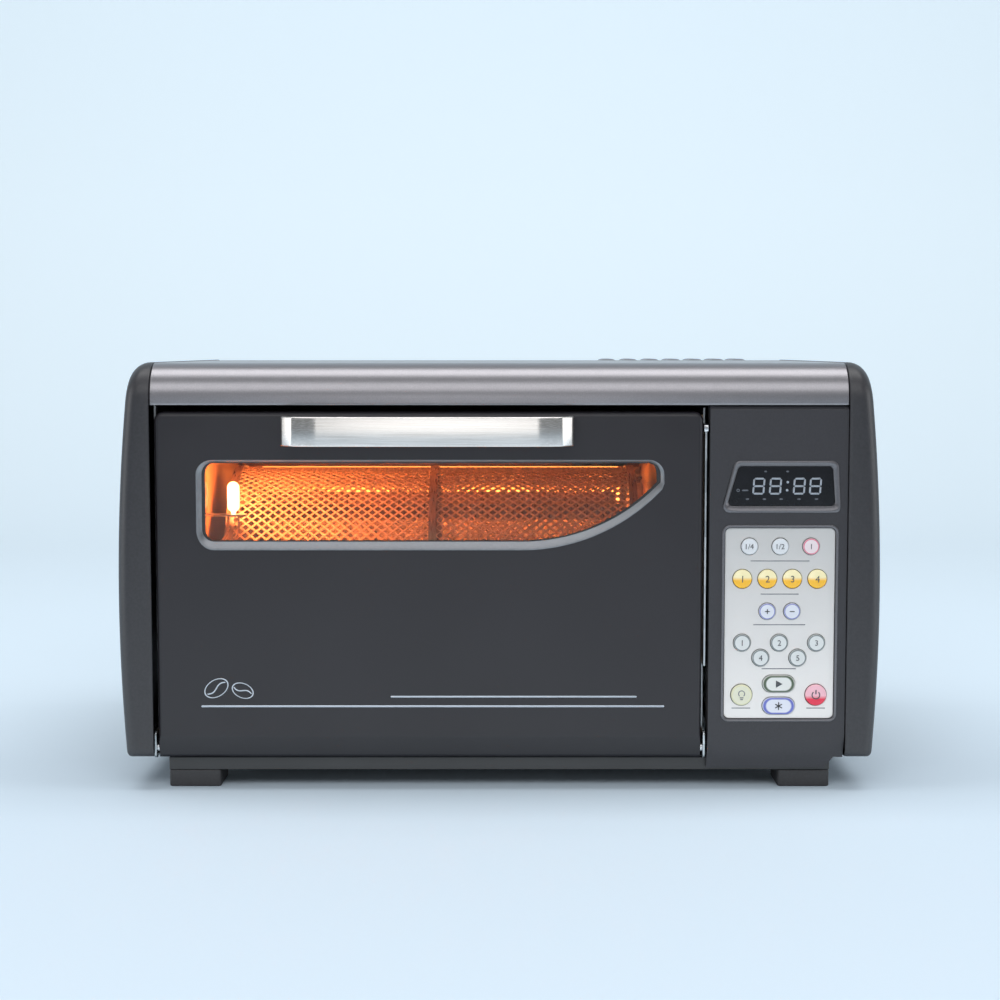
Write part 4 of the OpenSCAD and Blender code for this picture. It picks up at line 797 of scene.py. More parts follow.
def panel_ring(inset_y, inset_foot, inset_top):
    """The panel's outline drawn in: the box shrinks by the insets and each corner's radius by their
    mean. Every ring has the same number of points, at the same shares of its sides."""
    corners = box_corners(panel_low[1] + inset_y, panel_low[2] + inset_foot,
                          panel_high[1] - inset_y, PANEL_TOP - inset_top)
    foot, top = (inset_y + inset_foot) / 2, (inset_y + inset_top) / 2
    foot_r, rear_r = max(0.6, PANEL_FOOT_R - foot), max(0.6, PANEL_REAR_R - top)
    radii = [foot_r, foot_r, rear_r, PANEL_FRONT_R - top]
    ring = rounded_corners(corners, radii, PANEL_CORNER)
    out = []
    for k, steps in enumerate(PANEL_STEPS):
        arc = ring[k * PANEL_CORNER : (k + 1) * PANEL_CORNER]
        step = ring[(k + 1) * PANEL_CORNER % len(ring)] - arc[-1]
        out += [arc, arc[-1] + step * np.linspace(0, 1, steps + 1)[1:-1, None]]
    return np.concatenate(out)


def side_shell():
    """Rings from the inner rim over the front lip and the shoulder to the middle of the face.
    Shoulder: inset = s (1 - cos b), x = face - s (1 - sin b), b from 0 to 90 degrees."""
    rings = [(panel_ring(t, t, t), np.full(PANEL_POINTS, panel_low[0] + x_in)) for t, x_in in PANEL_LIP]
    n = outward(panel_ring(0, 0, 0))
    shoulder = np.where(n[:, 1] > 0, SHOULDER_TOP, SHOULDER_FOOT) * n[:, 1] ** 2
    shoulder += SHOULDER_SIDE * n[:, 0] ** 2
    for b in np.radians(np.linspace(0, 90, 10)):
        turned_in = (r * (1 - math.cos(b)) for r in (SHOULDER_SIDE, SHOULDER_FOOT, SHOULDER_TOP))
        ring = panel_ring(*turned_in)
        rings.append((ring, bulge(ring[:, 1]) - shoulder * (1 - math.sin(b))))
    middle = np.array([(panel_low[1] + panel_high[1]) / 2, bulge_z])
    inner = ring
    for t in np.linspace(0, 1, 14)[1:-1]:
        ring = inner + (middle - inner) * t
        rings.append((ring, bulge(ring[:, 1])))
    points = np.concatenate([np.stack([x, r[:, 0], r[:, 1]], -1) for r, x in rings])
    points = np.vstack([points, [bulge(middle[1]), *middle]])
    last = (len(rings) - 1) * PANEL_POINTS
    fan = [[last + i, last + (i + 1) % PANEL_POINTS, len(points) - 1] for i in range(PANEL_POINTS)]
    return points, grid_faces(len(rings), PANEL_POINTS, close_cols=True) + fan


def vent_cutters():
    """Eight upright slots with round ends, as closed blocks that are taken out of the shell."""
    blocks, faces = [], []
    for i in range(8):
        y, z = VENT_Y + VENT_PITCH * i, panel_low[2] + VENT_UP
        ring = rounded_corners(box_corners(y, z, y + VENT_W, z + VENT_H), [VENT_R] * 4, 6)
        for x in (panel_low[0] + WALL + 1, panel_high[0] + 2):
            blocks.append(np.column_stack([np.full(len(ring), x), ring]))
        faces += closed_tube(2, len(ring), start=2 * i * len(ring))
    return build("cutters", np.concatenate(blocks), faces)


def side_panel(name, mirrored):
    points, quads = side_shell()
    piece = build(name, points, quads, (1, 0, 0))
    modifier(piece, "SOLIDIFY", thickness=WALL * MM, offset=-1, use_rim=True)
    settle(piece)
    cutters = vent_cutters()
    modifier(piece, "BOOLEAN", operation="DIFFERENCE", object=cutters, solver="MANIFOLD")
    settle(piece)
    bpy.data.objects.remove(cutters)
    if mirrored:
        piece.data.transform(((-1, 0, 0, 0), (0, 1, 0, 0), (0, 0, 1, 0), (0, 0, 0, 1)))
        piece.data.flip_normals()
    shade_smooth(piece.data)
    sharpen(piece, 40)
    return piece


for side, mirrored in (("right", False), ("left", True)):
    stand_in(side_panel(f"side_panel_{side}_shell", mirrored), f"side_panel_{side}", side_abs)

# %% [markdown]
# ## The drum
# The drum's wall is expanded steel: thousands of diamonds, each 6.3 mm wide and 5.2 mm high. The
# plane is tiled with diamonds in staggered rows, each diamond gets a smaller one cut out of it, and
# the whole is rolled into a tube. Each hole's upper lip stands out a little and its lower lip in, as
# the tool that slits and stretches the sheet leaves them, and that makes the net glitter.

# %% The drum's net
net_low, net_high = size_of("drum_mesh")
DRUM_R = (net_high[2] - net_low[2]) / 2
drum_y, drum_z = (net_high[1:] + net_low[1:]) / 2
DIAMOND_W, NET_ROWS, NET_T = 6.3, 78, 0.8
HOLE_SHARE, LIP_OUT = 0.7, 0.22
diamond_h = 2 * math.pi * DRUM_R / NET_ROWS


def net_half(name, x0, x1):
    """Diamonds with centres on two staggered grids. Corners of a cell: (+-w/2, 0) and (0, +-h/2);
    the hole's corners are HOLE_SHARE of that. Rolled up: angle = s / R, lips LIP_OUT out and in."""
    columns = int((x1 - x0) / DIAMOND_W) - 1
    i, j = np.meshgrid(np.arange(columns + 1), np.arange(NET_ROWS), indexing="ij")
    even = np.stack([i * DIAMOND_W, j * diamond_h], -1).reshape(-1, 2)
    odd = even[: columns * NET_ROWS] + (DIAMOND_W / 2, diamond_h / 2)
    start = x0 + (x1 - x0 - columns * DIAMOND_W) / 2
    centre = np.concatenate([even, odd])[:, None]
    corner = np.array([(0.5, 0), (0, 0.5), (-0.5, 0), (0, -0.5)]) * (DIAMOND_W, diamond_h)
    flat = np.concatenate([centre + corner, centre + corner * HOLE_SHARE], 1)
    out = np.broadcast_to(np.array([0, 0, 0, 0, 0, LIP_OUT, 0, -LIP_OUT]), flat.shape[:2])
    angle = flat[..., 1] / DRUM_R
    radius = DRUM_R - 0.25 + out
    points = np.stack([start + flat[..., 0], drum_y + radius * np.sin(angle),
                       drum_z + radius * np.cos(angle)], -1)
    cell = np.array([(0, 1, 5, 4), (1, 2, 6, 5), (2, 3, 7, 6), (3, 0, 4, 7)])
    quads = (cell[None] + 8 * np.arange(len(points))[:, None, None]).reshape(-1, 4)
    piece = build(name, points.reshape(-1, 3), quads.tolist(), "as made", weld=0.02)
    modifier(piece, "SOLIDIFY", thickness=(NET_T - 0.35) * MM, offset=-1, use_rim=True)
    return piece


drum_middle_x = (net_low[0] + net_high[0]) / 2
left_net = net_half("drum_net_left", net_low[0] + 0.2, drum_middle_x + 1)
right_net = net_half("drum_net_right", drum_middle_x - 1, net_high[0] - 0.2)
stand_in(left_net, "drum_mesh", net_steel)
finish_piece(right_net, "drum_mesh", net_steel)


# %% [markdown]
# ## The chamber's lamp
# A halogen capsule stands upright on a small bracket that comes out of the left wall. The capsule is
# a profile turned round a vertical axis: a pinched foot, a straight wall and a round top.

# %% The lamp
def turned(profile, centre, count=24):
    """Turn a profile of (radius, z) round the vertical line through centre; both ends are closed."""
    a = np.radians(np.arange(count) * 360 / count)
    r, z = np.asarray(profile, float).T
    ring = np.stack([centre[0] + r[:, None] * np.cos(a), centre[1] + r[:, None] * np.sin(a),
                     np.broadcast_to(z[:, None], (len(r), count))], -1)
    return ring.reshape(-1, 3), closed_tube(len(r), count)


def plate(name, outline, axis, ends):
    """A flat outline pulled along an axis (0 for x, 2 for z) from one of the ends to the other."""
    points = np.concatenate([np.insert(outline, axis, place, axis=1) for place in ends])
    return build(name, points, closed_tube(2, len(outline)))


LAMP_X, LAMP_R, BRACKET_T = -158.0, 3.6, 1.2
bulb_low, bulb_high = size_of("lamp_bulb")
lamp_y = (bulb_low[1] + bulb_high[1]) / 2
wall_x = size_of("chamber_shell")[0][0]
bracket_z = bulb_low[2] - 4.6
dome = arc_points((0, bulb_high[2] - LAMP_R), LAMP_R, 0, 86, 9)
foot = [(1.3, bracket_z + BRACKET_T), (1.4, bulb_low[2] - 2), (LAMP_R - 0.4, bulb_low[2] - 0.5),
        (LAMP_R, bulb_low[2] + 1)]
profile = np.concatenate([foot, dome])
stand_in(build("halogen_capsule", *turned(profile, (LAMP_X, lamp_y))), "lamp_bulb", lamp_glow)

blade = rounded_corners(box_corners(wall_x - 0.5, lamp_y - 5, LAMP_X + 8, lamp_y + 5), [0, 3, 3, 0], 6)
bracket = plate("lamp_bracket", blade, 2, (bracket_z, bracket_z + BRACKET_T))
finish_piece(sharpen(bracket, 40), "lamp_holder", drive_steel)


def wire(points, radius, count=10, smooth=24):
    """A round wire: points joined by a smooth curve, a circle of that radius carried along it."""
    t = np.linspace(0, 1, smooth)
    knots = np.linspace(0, 1, len(points))
    line = np.stack([np.interp(t, knots, p) for p in np.asarray(points, float).T], -1)
    for _ in range(3):
        line[1:-1] = (line[:-2] + 2 * line[1:-1] + line[2:]) / 4
    step = np.gradient(line, axis=0)
    step /= np.linalg.norm(step, axis=1)[:, None]
    side = np.cross(step, (0, 1, 0))
    side /= np.linalg.norm(side, axis=1)[:, None]
    up = np.cross(side, step)
    a = np.radians(np.arange(count) * 360 / count)[None, :, None]
    ring = line[:, None] + radius * (np.cos(a) * side[:, None] + np.sin(a) * up[:, None])
    return ring.reshape(-1, 3), closed_tube(smooth, count)


for k, x in enumerate((LAMP_X - 3, LAMP_X + 3)):
    path = [(x, lamp_y, bracket_z + 0.6), (x, lamp_y, bracket_z - 9),
            (x - 4, lamp_y, bracket_z - 15), (wall_x - 0.5, lamp_y, bracket_z - 18)]
    finish_piece(build(f"lamp_lead_{k + 1}", *wire(path, 0.7)), "lamp_holder", drive_steel)

# %% [markdown]
# ## The keys
# A key is a small moulded button that stands 1.4 mm out of the plate. Its outline is a circle, or a
# circle drawn out sideways. Rings of that outline shrink towards the middle while the depth follows
# the profile: a straight wall, a rounded edge and a face that is slightly dished or domed.

# %% Key shapes
KEY_FLANGE, KEY_EDGE = 0.8, 0.7


def key_ring(radius, straight, count=48):
    """A circle of that radius, its right half moved right and its left half moved left."""
    a = np.radians((np.arange(count) + 0.5) * 360 / count)
    x = radius * np.cos(a)
    return np.stack([x + np.sign(x) * straight / 2, radius * np.sin(a)], -1)


def key_cap(name, node, crown, dish):
    """Rings of the key's outline. Wall: full radius. Edge: inset = e (1 - cos a), depth = crown +
    e (1 - sin a). Face: depth = crown r^2 + dish (1 - r^2), r from the edge (1) to the middle (0)."""
    low, high = size_of(node)
    middle = (low + high) / 2
    straight = (high[0] - low[0]) - (high[2] - low[2])
    radius = (high[2] - low[2]) / 2 - KEY_FLANGE
    a = np.radians(np.linspace(0, 90, 6))
    r = np.linspace(1, 0.02, 10)[1:]
    size = np.concatenate([[radius], radius - KEY_EDGE * (1 - np.cos(a)), (radius - KEY_EDGE) * r])
    depth = np.concatenate([[3.0], crown + KEY_EDGE * (1 - np.sin(a)),
                            crown * r**2 + dish * (1 - r**2)])
    rings = [lift(key_ring(s, straight * s / radius), low[1] + d) for s, d in zip(size, depth)]
    points = np.concatenate(rings) + (middle[0], 0, middle[2])
    piece = build(name, points, closed_tube(len(rings), len(rings[0])))
    attribute = piece.data.attributes.new("rim", "FLOAT", "POINT")
    attribute.data.foreach_set("value", np.repeat(size / radius, len(rings[0])))
    return piece


# %% All 18 keys
KEY_LOOKS = {
    "key_weight_1": white_key, "key_weight_2": white_key, "key_weight_3": red_ring_key,
    "key_minus": blue_ring_key, "key_plus": blue_ring_key,
    "key_start": start_key, "key_cool": cool_key, "key_light": lamp_key, "key_power": power_key,
}
KEY_LOOKS |= {f"key_program_{i}": amber_key for i in range(1, 5)}
KEY_LOOKS |= {f"key_profile_{i}": grey_ring_key for i in range(1, 6)}
for node, look in KEY_LOOKS.items():
    crown, dish = (0.55, 0.0) if "program" in node else (0.0, 0.12)
    stand_in(key_cap(node + "_cap", node, crown, dish), node, look)

# %% [markdown]
# ## Printed marks and the display's figures
# The marks on the keys, the plate and the door are screen printed. The display's figures and small
# marks are its lit segments, painted on in pale grey as painted light. Each one is a sheet INK_T thick,
# cut to the mark's outline and laid INK_UP before the surface that carries it.

# %% Marks as flat faces
INK_T, INK_UP = 0.05, 0.03


def joined(*marks):
    """Several marks, each given as points in x and z and faces, as one."""
    points, faces, start = [], [], 0
    for p, f in marks:
        faces += [[i + start for i in face] for face in f]
        points.append(np.asarray(p, float))
        start += len(p)
    return np.concatenate(points), faces


def stroke(x0, z0, x1, z1, width):
    """A straight stroke with pointed ends: six corners round its middle line."""
    a, b = np.array([x0, z0], float), np.array([x1, z1], float)
    d = (b - a) / np.linalg.norm(b - a) * width / 2
    n = np.array([-d[1], d[0]])
    return np.array([a, a + d - n, b - d - n, b, b - d + n, a + d + n]), [[0, 1, 2, 3, 4, 5]]


def ring_part(x, z, inner, outer, start=0, stop=360, count=24):
    """The part of a flat ring between two angles in degrees, as one strip of quads."""
    rims = [arc_points((x, z), r, start, stop, count) for r in (inner, outer)]
    return np.vstack(rims), grid_faces(2, count)


def ribbon(line, width):
    """A strip of that width along a line: line + and - half the width times its normal."""
    step = np.gradient(line, axis=0)
    normal = np.stack([-step[:, 1], step[:, 0]], -1) / np.linalg.norm(step, axis=1)[:, None]
    return np.vstack([line + normal * width / 2, line - normal * width / 2]), grid_faces(2, len(line))


def figure(text, x, z, height):
    """A plain figure in the renderer's own typeface, scaled to a height and centred on (x, z)."""
    curve = bpy.data.curves.new("figure", "FONT")
    curve.body, curve.resolution_u = text, 4
    holder = placed("figure", curve)
    graph = bpy.context.evaluated_depsgraph_get()
    data = bpy.data.meshes.new_from_object(holder.evaluated_get(graph))
    points = np.array([v.co[:2] for v in data.vertices])
    faces = [list(p.vertices) for p in data.polygons]
    bpy.data.objects.remove(holder)
    bpy.data.meshes.remove(data)
    low, high = points.min(0), points.max(0)
    return (points - (low + high) / 2) * height / (high[1] - low[1]) + (x, z), faces


def ink_and_lit_paint(name, colour, roughness=0.45):
    """Matt printing ink, slightly uneven where the screen's mesh let more or less of it through.
    The display's lit segments are painted with it too, as painted light.
    """
    material = new_material(name, colour, roughness, IOR=1.5)
    vary_roughness(material, noise(material, 0.4), roughness - 0.05, roughness + 0.05)
    return material


def lay_print_and_lit_paint(name, mark, y, node, material):
    """Lay a mark on the surface at depth y."""
    piece = build(name, lift(mark[0], y), mark[1], (0, -1, 0), weld=0.003)
    modifier(piece, "SOLIDIFY", thickness=INK_T * MM, offset=-1, use_rim=True)
    return finish_piece(piece, node, material)


grey_ink, dark_ink = ink_and_lit_paint("grey_screen_ink", "#7d8086"), ink_and_lit_paint("dark_screen_ink", "#4a4d52")
# The display's two paints made here are painted light: its lit figures and its dimmer lit marks.
pale_ink, dim_lit_mark_paint = ink_and_lit_paint("pale_screen_ink", "#c6ced8"), ink_and_lit_paint("painted_dim_display_marks", "#5f636b")
lit_figure_paint = ink_and_lit_paint("painted_lit_display_figures", "#a4abb5")


# %% Marks on the keys
def key_mark(node, x, z):
    """The generic sign of a key, centred on (x, z): a plain number or a symbol."""
    kind, number = node.split("_")[1], node[-1]
    if kind == "weight":
        return figure(("1/4", "1/2", "1")[int(number) - 1], x, z, 3.0)
    if kind in ("program", "profile"):
        return figure(number, x, z, 3.8 if kind == "program" else 3.2)
    if kind == "minus":
        return stroke(x - 1.5, z, x + 1.5, z, 0.55)
    if kind == "plus":
        return joined(stroke(x - 1.5, z, x + 1.5, z, 0.55), stroke(x, z - 1.5, x, z + 1.5, 0.55))
    if kind == "start":
        return np.array([(x - 1.7, z - 2.1), (x + 2.1, z), (x - 1.7, z + 2.1)]), [[0, 1, 2]]
    if kind == "cool":
        turns = np.radians([90, 30, 150])
        return joined(*(stroke(x - 2.4 * math.cos(t), z - 2.4 * math.sin(t), x + 2.4 * math.cos(t),
                               z + 2.4 * math.sin(t), 0.6) for t in turns))
    if kind == "light":
        return joined(ring_part(x, z + 0.7, 1.5, 2.0, -50, 230),
                      stroke(x - 1.2, z - 1.6, x + 1.2, z - 1.6, 0.6),
                      stroke(x - 0.9, z - 2.6, x + 0.9, z - 2.6, 0.6))
    return joined(ring_part(x, z, 1.9, 2.5, 130, 410), stroke(x, z + 0.3, x, z + 3.1, 0.7))


for node in KEY_LOOKS:
    low, high = size_of(node)
    x, z = (low[0] + high[0]) / 2, (low[2] + high[2]) / 2
    mark = key_mark(node, x, z)
    ink_used = grey_ink if "light" in node else dark_ink
    lay_print_and_lit_paint(node + "_mark", mark, low[1] - INK_UP, node, ink_used)

# %% Rules on the plate, in the places of the captions
pad_low, pad_high = size_of("keypad_plate")
pad_x = (pad_low[0] + pad_high[0]) / 2
RULE_W, FOOT_RULE_Z = 0.55, 47.9
RULES = [(-17, 17, 133.1), (-11, 11, 114.0), (-15, 15, 96.3), (-10, 10, 70.8),
         (16, 27, FOOT_RULE_Z), (-27, -16, FOOT_RULE_Z)]
rules = [stroke(pad_x + left, z, pad_x + right, z, RULE_W) for left, right, z in RULES]
lay_print_and_lit_paint("keypad_rules", joined(*rules), pad_low[1] - INK_UP, "keypad_plate", grey_ink)


# %% The display's figures and its bezel
def eight(x, z, wide, high, width, lean=0.07):
    """All seven segments of a figure: three level strokes and four upright ones, leaning right."""
    w, h, g = wide / 2, high / 2, 0.15
    level = [stroke(x - w + g, z + k * h, x + w - g, z + k * h, width) for k in (-1, 0, 1)]
    upright = [stroke(x + i * w, z + (k - 1) * h + g, x + i * w, z + k * h - g, width)
               for i in (-1, 1) for k in (0, 1)]
    points, faces = joined(*level, *upright)
    points[:, 0] += lean * (points[:, 1] - z)
    return points, faces


DISPLAY_FACE = size_of("display_lens")[0][1] - 0.04
FIGURE_Z, FIGURE_X = 176.0, (148.0, 157.5, 171.1, 180.3)
# The figures and small marks are the display's lit segments: painted light, with no light of their own.
figures = [eight(x, FIGURE_Z, 5.9, 8.6, 1.05) for x in FIGURE_X]
figures += [ring_part(164.3 + 0.07 * dz, FIGURE_Z + dz, 0.06, 0.75, count=12) for dz in (-2.3, 2.3)]
lay_print_and_lit_paint("display_figures", joined(*figures), DISPLAY_FACE, "display_lens", lit_figure_paint)
small = [stroke(x - 1.1, 168.6, x + 1.1, 168.6, 0.9) for x in (141.5, 151.2, 160.8, 171.0, 181.0)]
small += [stroke(x - 0.9, 184.4, x + 0.9, 184.4, 0.9) for x in (151.8, 164.3)]
small += [ring_part(136.2, 173.6, 0.5, 0.95, count=12), stroke(138.3, 173.6, 142.2, 173.6, 0.9)]
lay_print_and_lit_paint("display_small_marks", joined(*small), DISPLAY_FACE, "display_lens", dim_lit_mark_paint)

FASCIA_FACE = size_of("control_fascia")[0][1]


def bezel(name, inner, outer, steps):
    """A moulded frame: rings at shares of the way from the inner to the outer outline, each at the
    given depth below the fascia's face."""
    middle = (inner.min(0) + inner.max(0)) / 2
    angles = ray_angles(middle, inner, outer)
    inner, outer = (along_rays(outline, middle, angles) for outline in (inner, outer))
    rings = [lift(inner + (outer - inner) * share, FASCIA_FACE + depth) for share, depth in steps]
    quads = grid_faces(len(rings), len(inner), close_cols=True)
    piece = build(name, np.concatenate(rings), quads, (0, -1, 0))
    modifier(piece, "SOLIDIFY", thickness=0.15 * MM, offset=-1, use_rim=True)
    return finish_piece(piece, "control_fascia", bezel_grey)


LENS_CORNERS = [(130.0, 164.6), (191.8, 164.6), (190.1, 187.3), (136.5, 187.3)]
BEZEL_CORNERS = [(126.6, 160.7), (195.0, 160.7), (193.2, 190.6), (134.2, 190.6)]
bezel("display_bezel", rounded_corners(LENS_CORNERS, [2.2, 2.2, 2.2, 2.2], 8),
      rounded_corners(BEZEL_CORNERS, [3.6, 3.0, 4.0, 4.0], 8),
      [(1.0, 0.25), (0.97, -0.1), (0.88, -0.5), (0.74, -0.72), (0.6, -0.62), (0.1, 0.75),
       (0.0, 1.05), (0.0, 1.6)])
pad_outlines = [rounded_corners(box_corners(*(pad_low[[0, 2]] - gap), *(pad_high[[0, 2]] + gap)),
                                [radius] * 4, 8) for gap, radius in ((0.1, 3.1), (1.9, 4.6))]
bezel("keypad_frame", *pad_outlines,
      [(1.0, 0.2), (0.93, -0.3), (0.75, -0.55), (0.5, -0.5), (0.1, 0.1), (0.0, 0.5)])


# %% Stripes and a pair of beans on the door
def bean(x, z, length, tilt):
    """A coffee bean: an oval line, a cos t and 0.66 a sin t, and an S-shaped groove along it."""
    turn = np.array([[math.cos(tilt), math.sin(tilt)], [-math.sin(tilt), math.cos(tilt)]])
    t = np.radians(np.linspace(0, 360, 41))
    oval = np.stack([np.cos(t), 0.66 * np.sin(t)], -1)
    rim = np.vstack([oval * (length / 2 - 0.35), oval * (length / 2 + 0.35)])
    u = np.linspace(-0.86, 0.86, 17)
    groove, faces = ribbon(np.stack([u, 0.16 * np.sin(u * 3.4)], -1) * length / 2, 0.7)
    points, faces = joined((rim, grid_faces(2, 41)), (groove, faces))
    return points @ turn + (x, z), faces


STRIPES = [(door_low[0] + 25.1, door_high[0] - 21.2, 49.1, 1.1), (-62.6, 79.1, 54.7, 1.0)]
stripes = [stroke(left, z, right, z, width) for left, right, z, width in STRIPES]
lay_print_and_lit_paint("door_stripes", joined(*stripes), DOOR_FACE - INK_UP, "door_skin", pale_ink)
beans = [bean(-162.6, 59.6, 14.5, 0.55), bean(-147.5, 58.2, 12.5, -0.4)]
lay_print_and_lit_paint("door_bean_sign", joined(*beans), DOOR_FACE - INK_UP, "door_skin", pale_ink)

# %% [markdown]
# ## Small fasteners
# A sheet-steel casing is held by pan-head screws. Each head is a shallow dome with a cross in it, and
# a bent tab beside the door's upper corner is what the door's catch closes on.

# %% Screws on the rear panel and the catch
SCREW_R, SCREW_H = 3.1, 1.1


def screw_head(x, z, y, count=20):
    """A dome on the rear panel: SCREW_R sin a, SCREW_H cos a, with a from the rim to the middle."""
    a = np.radians(np.linspace(90, 4, 7))
    rho, out = SCREW_R * np.sin(a), SCREW_H * np.cos(a)
    turn = np.radians(np.arange(count) * 360 / count)
    points = np.stack([x + rho[:, None] * np.cos(turn), np.broadcast_to((y + out)[:, None], (7, count)),
                       z + rho[:, None] * np.sin(turn)], -1)
    return points.reshape(-1, 3), closed_tube(7, count)


rear_low, rear_high = size_of("rear_panel")
places = [(x, z) for x in (rear_low[0] + 8, rear_high[0] - 8)
          for z in (rear_low[2] + 8, 110, rear_high[2] - 6)]
heads = [screw_head(x, z, rear_high[1]) for x, z in places]
points, quads = joined(*heads)
finish_piece(build("rear_screws", points, quads), "rear_panel", hinge_steel)
points, faces = joined(*(stroke(x - dx, z - dz, x + dx, z + dz, 0.7) for x, z in places
                         for dx, dz in ((1.3, 0), (0, 1.3))))
screw_crosses = build("rear_screw_crosses", lift(points, rear_high[1] + SCREW_H), faces, (0, 1, 0))
modifier(screw_crosses, "SOLIDIFY", thickness=INK_T * MM, offset=-1, use_rim=True)
finish_piece(screw_crosses, "rear_panel", black_paint)

CATCH_X, CATCH_BOX = (116.7, 119.3), (-123.6, 206.6, -114.5, 211.4)
tab = rounded_corners(box_corners(*CATCH_BOX), [1.6, 0.4, 0.4, 1.6], 6)
catch = plate("door_catch_tab", tab, 0, CATCH_X)
modifier(catch, "BEVEL", width=0.3 * MM, segments=2, limit_method="ANGLE",
         angle_limit=math.radians(50), harden_normals=True)
finish_piece(catch, "divider_plate", hinge_steel)

# %% [markdown]
# ## Everything else
# The other parts keep the shapes that the CAD gives them. Each gets a finer copy with rounded edges
# and the finish that it has on the real machine.

# %% Finer copies of the other parts
COPIES = {
    "base_pan": (0.4, black_paint), "feet": (0.8, foot_rubber), "rear_panel": (0.2, black_paint),
    "side_plates": (0.2, zinc), "divider_plate": (0.2, zinc), "cord_gland": (0.5, black_abs),
    "control_fascia": (0.35, fascia_abs), "keypad_plate": (0.2, pad_silver),
    "display_lens": (0.3, display_black), "front_frame": (0.25, chamber_steel),
    "chamber_shell": (0.2, chamber_steel), "chamber_end_walls": (0.2, chamber_steel),
    "chaff_tray": (0.3, tray_steel), "heater_caps": (0.6, ceramic), "lamp_holder": (0.6, ceramic),
    "heater_reflector": (0.1, mirror_steel), "heater_guard": (0.1, guard_wire),
    "drum_cradle": (0.5, tray_steel), "drum_frame": (0.15, drum_steel),
    "drum_pin_end": (0.2, drum_steel), "drum_hatch": (0.2, drum_steel),
    "drum_drive_end": (0.2, drum_steel), "drive_coupler": (0.4, drive_steel),
    "drive_motor": (0.6, drive_steel), "afterburner": (0.3, zinc),
    "exhaust_fan_frame": (0.4, fan_nylon), "exhaust_fan_rotor": (0.2, fan_nylon),
    "cooling_fan_frame": (0.5, fan_nylon), "cooling_fan_rotor": (0.2, fan_nylon),
    "power_board": (0.3, board_green), "control_board": (0.2, board_green),
    "door_liner": (0.2, chamber_steel), "door_glass": (0.3, door_pane),
    "door_hinge_pins": (0.3, hinge_steel), "heater_tubes": (0.4, quartz_glow),
}
for node, (width, material) in COPIES.items():
    finer_copy(node, width, material)

# %% [markdown]
# ## The studio
# The floor and the backdrop are one pale sheet that curves up behind the machine. Soft boxes light
# it: broad ones above and high in front, one behind the camera that the handle reflects, one low in
# front that stands for light coming back from the floor, and one on each side. The sheet glows a
# little with distance, and before the door only for reflections, as paper in full light would.

# %% Floor and backdrop
SHINE_Y, SHINE_REACH, SHINE = -290, 160, 0.8
stage_paper = new_material("pale_backdrop_paper", "#cfdfec", 0.9)
seen_by = add_node(stage_paper, "ShaderNodeLightPath").outputs
seen = seen_by["Is Camera Ray"]
for ray in ("Is Glossy Ray", "Is Transmission Ray"):
    seen = add_node(stage_paper, "ShaderNodeMath", {0: seen, 1: seen_by[ray]},
                    operation="MAXIMUM").outputs["Value"]
near_share = share_along(stage_paper, "Y", -50, 150, 0.1)
far_share = share_along(stage_paper, "Y", 150, 2000, 0.28)
share = add_node(stage_paper, "ShaderNodeMath", {0: near_share, 1: far_share}).outputs["Value"]
paper_place = add_node(stage_paper, "ShaderNodeTexCoord").outputs["Object"]
paper_y = add_node(stage_paper, "ShaderNodeSeparateXYZ", {"Vector": paper_place}).outputs["Y"]
before_door = add_node(stage_paper, "ShaderNodeMath",
                       {0: paper_y, 1: SHINE_Y * MM, 2: SHINE_REACH * MM},
                       operation="COMPARE").outputs["Value"]
shine = add_node(stage_paper, "ShaderNodeMath", {0: before_door, 1: seen_by["Is Glossy Ray"]},
                 operation="MULTIPLY").outputs["Value"]
paper_glow = add_node(stage_paper, "ShaderNodeMath", {0: seen, 1: share},
                      operation="MULTIPLY").outputs["Value"]
paper_glow = add_node(stage_paper, "ShaderNodeMath", {0: shine, 1: SHINE, 2: paper_glow},
                      operation="MULTIPLY_ADD").outputs["Value"]
feed(stage_paper, "Emission Strength", paper_glow)
shader_of(stage_paper).inputs["Emission Color"].default_value = linear("#eaf4f4")
a = np.radians(np.linspace(0, 90, 13))
sweep_y = np.concatenate([[-4000], 1200 + 900 * np.sin(a), [2100]])
sweep_z = np.concatenate([[0], 900 * (1 - np.cos(a)), [3500]])
stage_x = np.array([-4000.0, 4000.0])
points = np.stack(np.broadcast_arrays(stage_x[:, None], sweep_y[None], sweep_z[None]), -1)
backdrop = build("backdrop", points.reshape(-1, 3), grid_faces(2, len(sweep_y)), (0, 0, 1))
backdrop.data.materials.append(stage_paper)


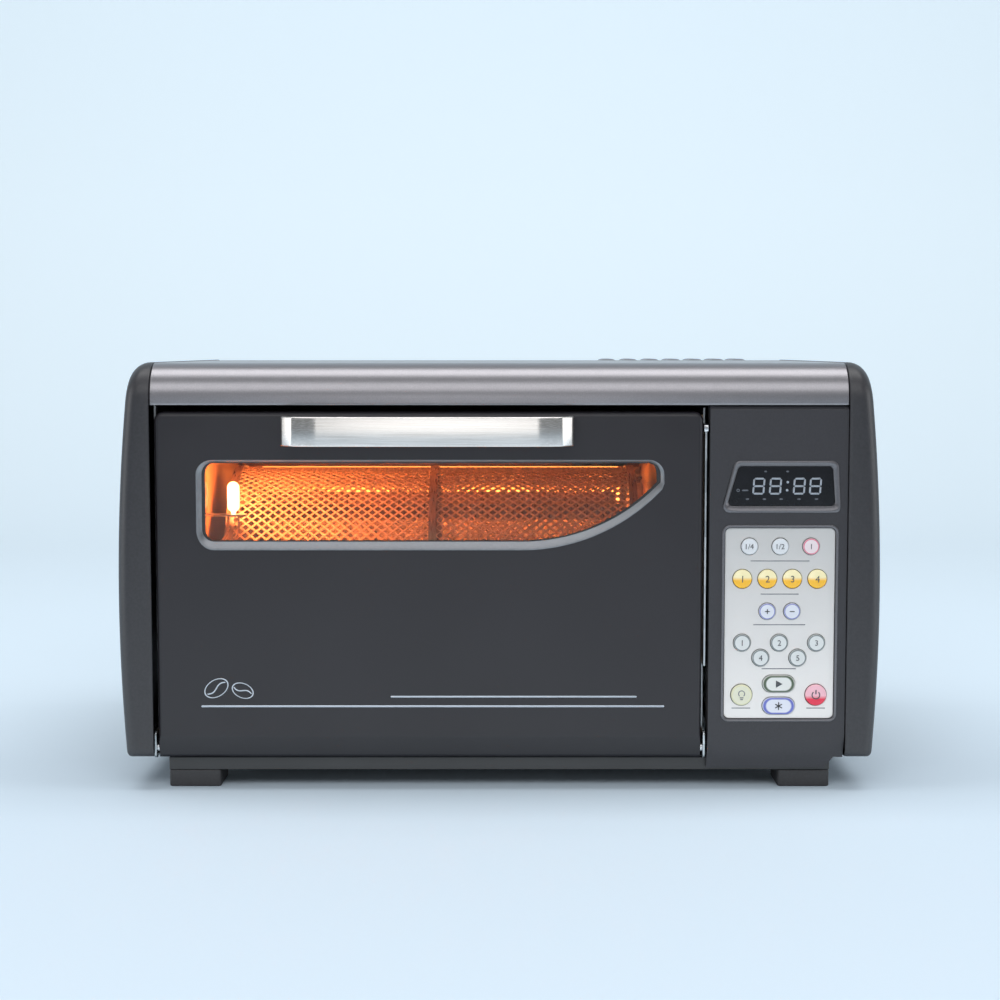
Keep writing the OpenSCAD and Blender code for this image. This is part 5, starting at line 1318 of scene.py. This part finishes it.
# %% Lights
def soft_box(name, place, target, size, power, colour="#ffffff"):
    """A rectangular lamp at place, in millimetres, that looks at target."""
    lamp = placed(name, bpy.data.lights.new(name, "AREA"))
    lamp.data.shape = "RECTANGLE"
    lamp.data.size, lamp.data.size_y = size[0] * MM, size[1] * MM
    lamp.data.energy = power
    lamp.data.color = linear(colour)[:3]
    lamp.location = Vector(place) * MM
    lamp.rotation_euler = (Vector(target) - Vector(place)).to_track_quat("-Z", "Y").to_euler()
    lamp.visible_camera = lamp.visible_transmission = False
    return lamp


soft_box("overhead_box", (0, -20, 2000), (0, -100, 240), (2600, 900), 27)
soft_box("high_front_box", (0, -1960, 1660), (0, -120, 120), (2600, 1100), 21)
soft_box("camera_side_box", (-60, -1400, 290), (-40, -150, 205), (390, 360), 0.8)
soft_box("floor_bounce_box", (0, -620, 8), (0, -126, 60), (1200, 60), 0.35)
soft_box("left_box", (-1600, -350, 450), (0, 0, 120), (900, 900), 6)
soft_box("right_box", (1600, -350, 450), (0, 0, 120), (900, 900), 6)

# %% [markdown]
# The chamber is lit from inside. The capsule lamp shines from the left wall, and the two quartz tubes
# behind the drum fill it with a redder light.

# %% Lights inside the chamber
lamp = placed("chamber_lamp", bpy.data.lights.new("chamber_lamp", "POINT"))
lamp.location = Vector((LAMP_X + LAMP_R + 4, lamp_y, bulb_high[2] - 8)) * MM
lamp.data.energy, lamp.data.shadow_soft_size = 1.2, 4.5 * MM
lamp.data.color = (1.0, 0.32, 0.11)
lamp.visible_camera = lamp.visible_transmission = False
tube_low, tube_high = size_of("heater_tubes")
for height in (tube_low[2] + 6, tube_high[2] - 6):
    place = (-40, tube_low[1] - 4, height)
    strip = soft_box(f"tube_light_{height:.0f}", place, (-40, -200, height), (220, 8), 0.09)
    strip.data.color = (1.0, 0.22, 0.05)

world = bpy.data.worlds.new("studio")
bpy.context.scene.world = world
world.use_nodes = True
world.node_tree.nodes["Background"].inputs["Color"].default_value = linear("#eef4f8")
world.node_tree.nodes["Background"].inputs["Strength"].default_value = 0.32
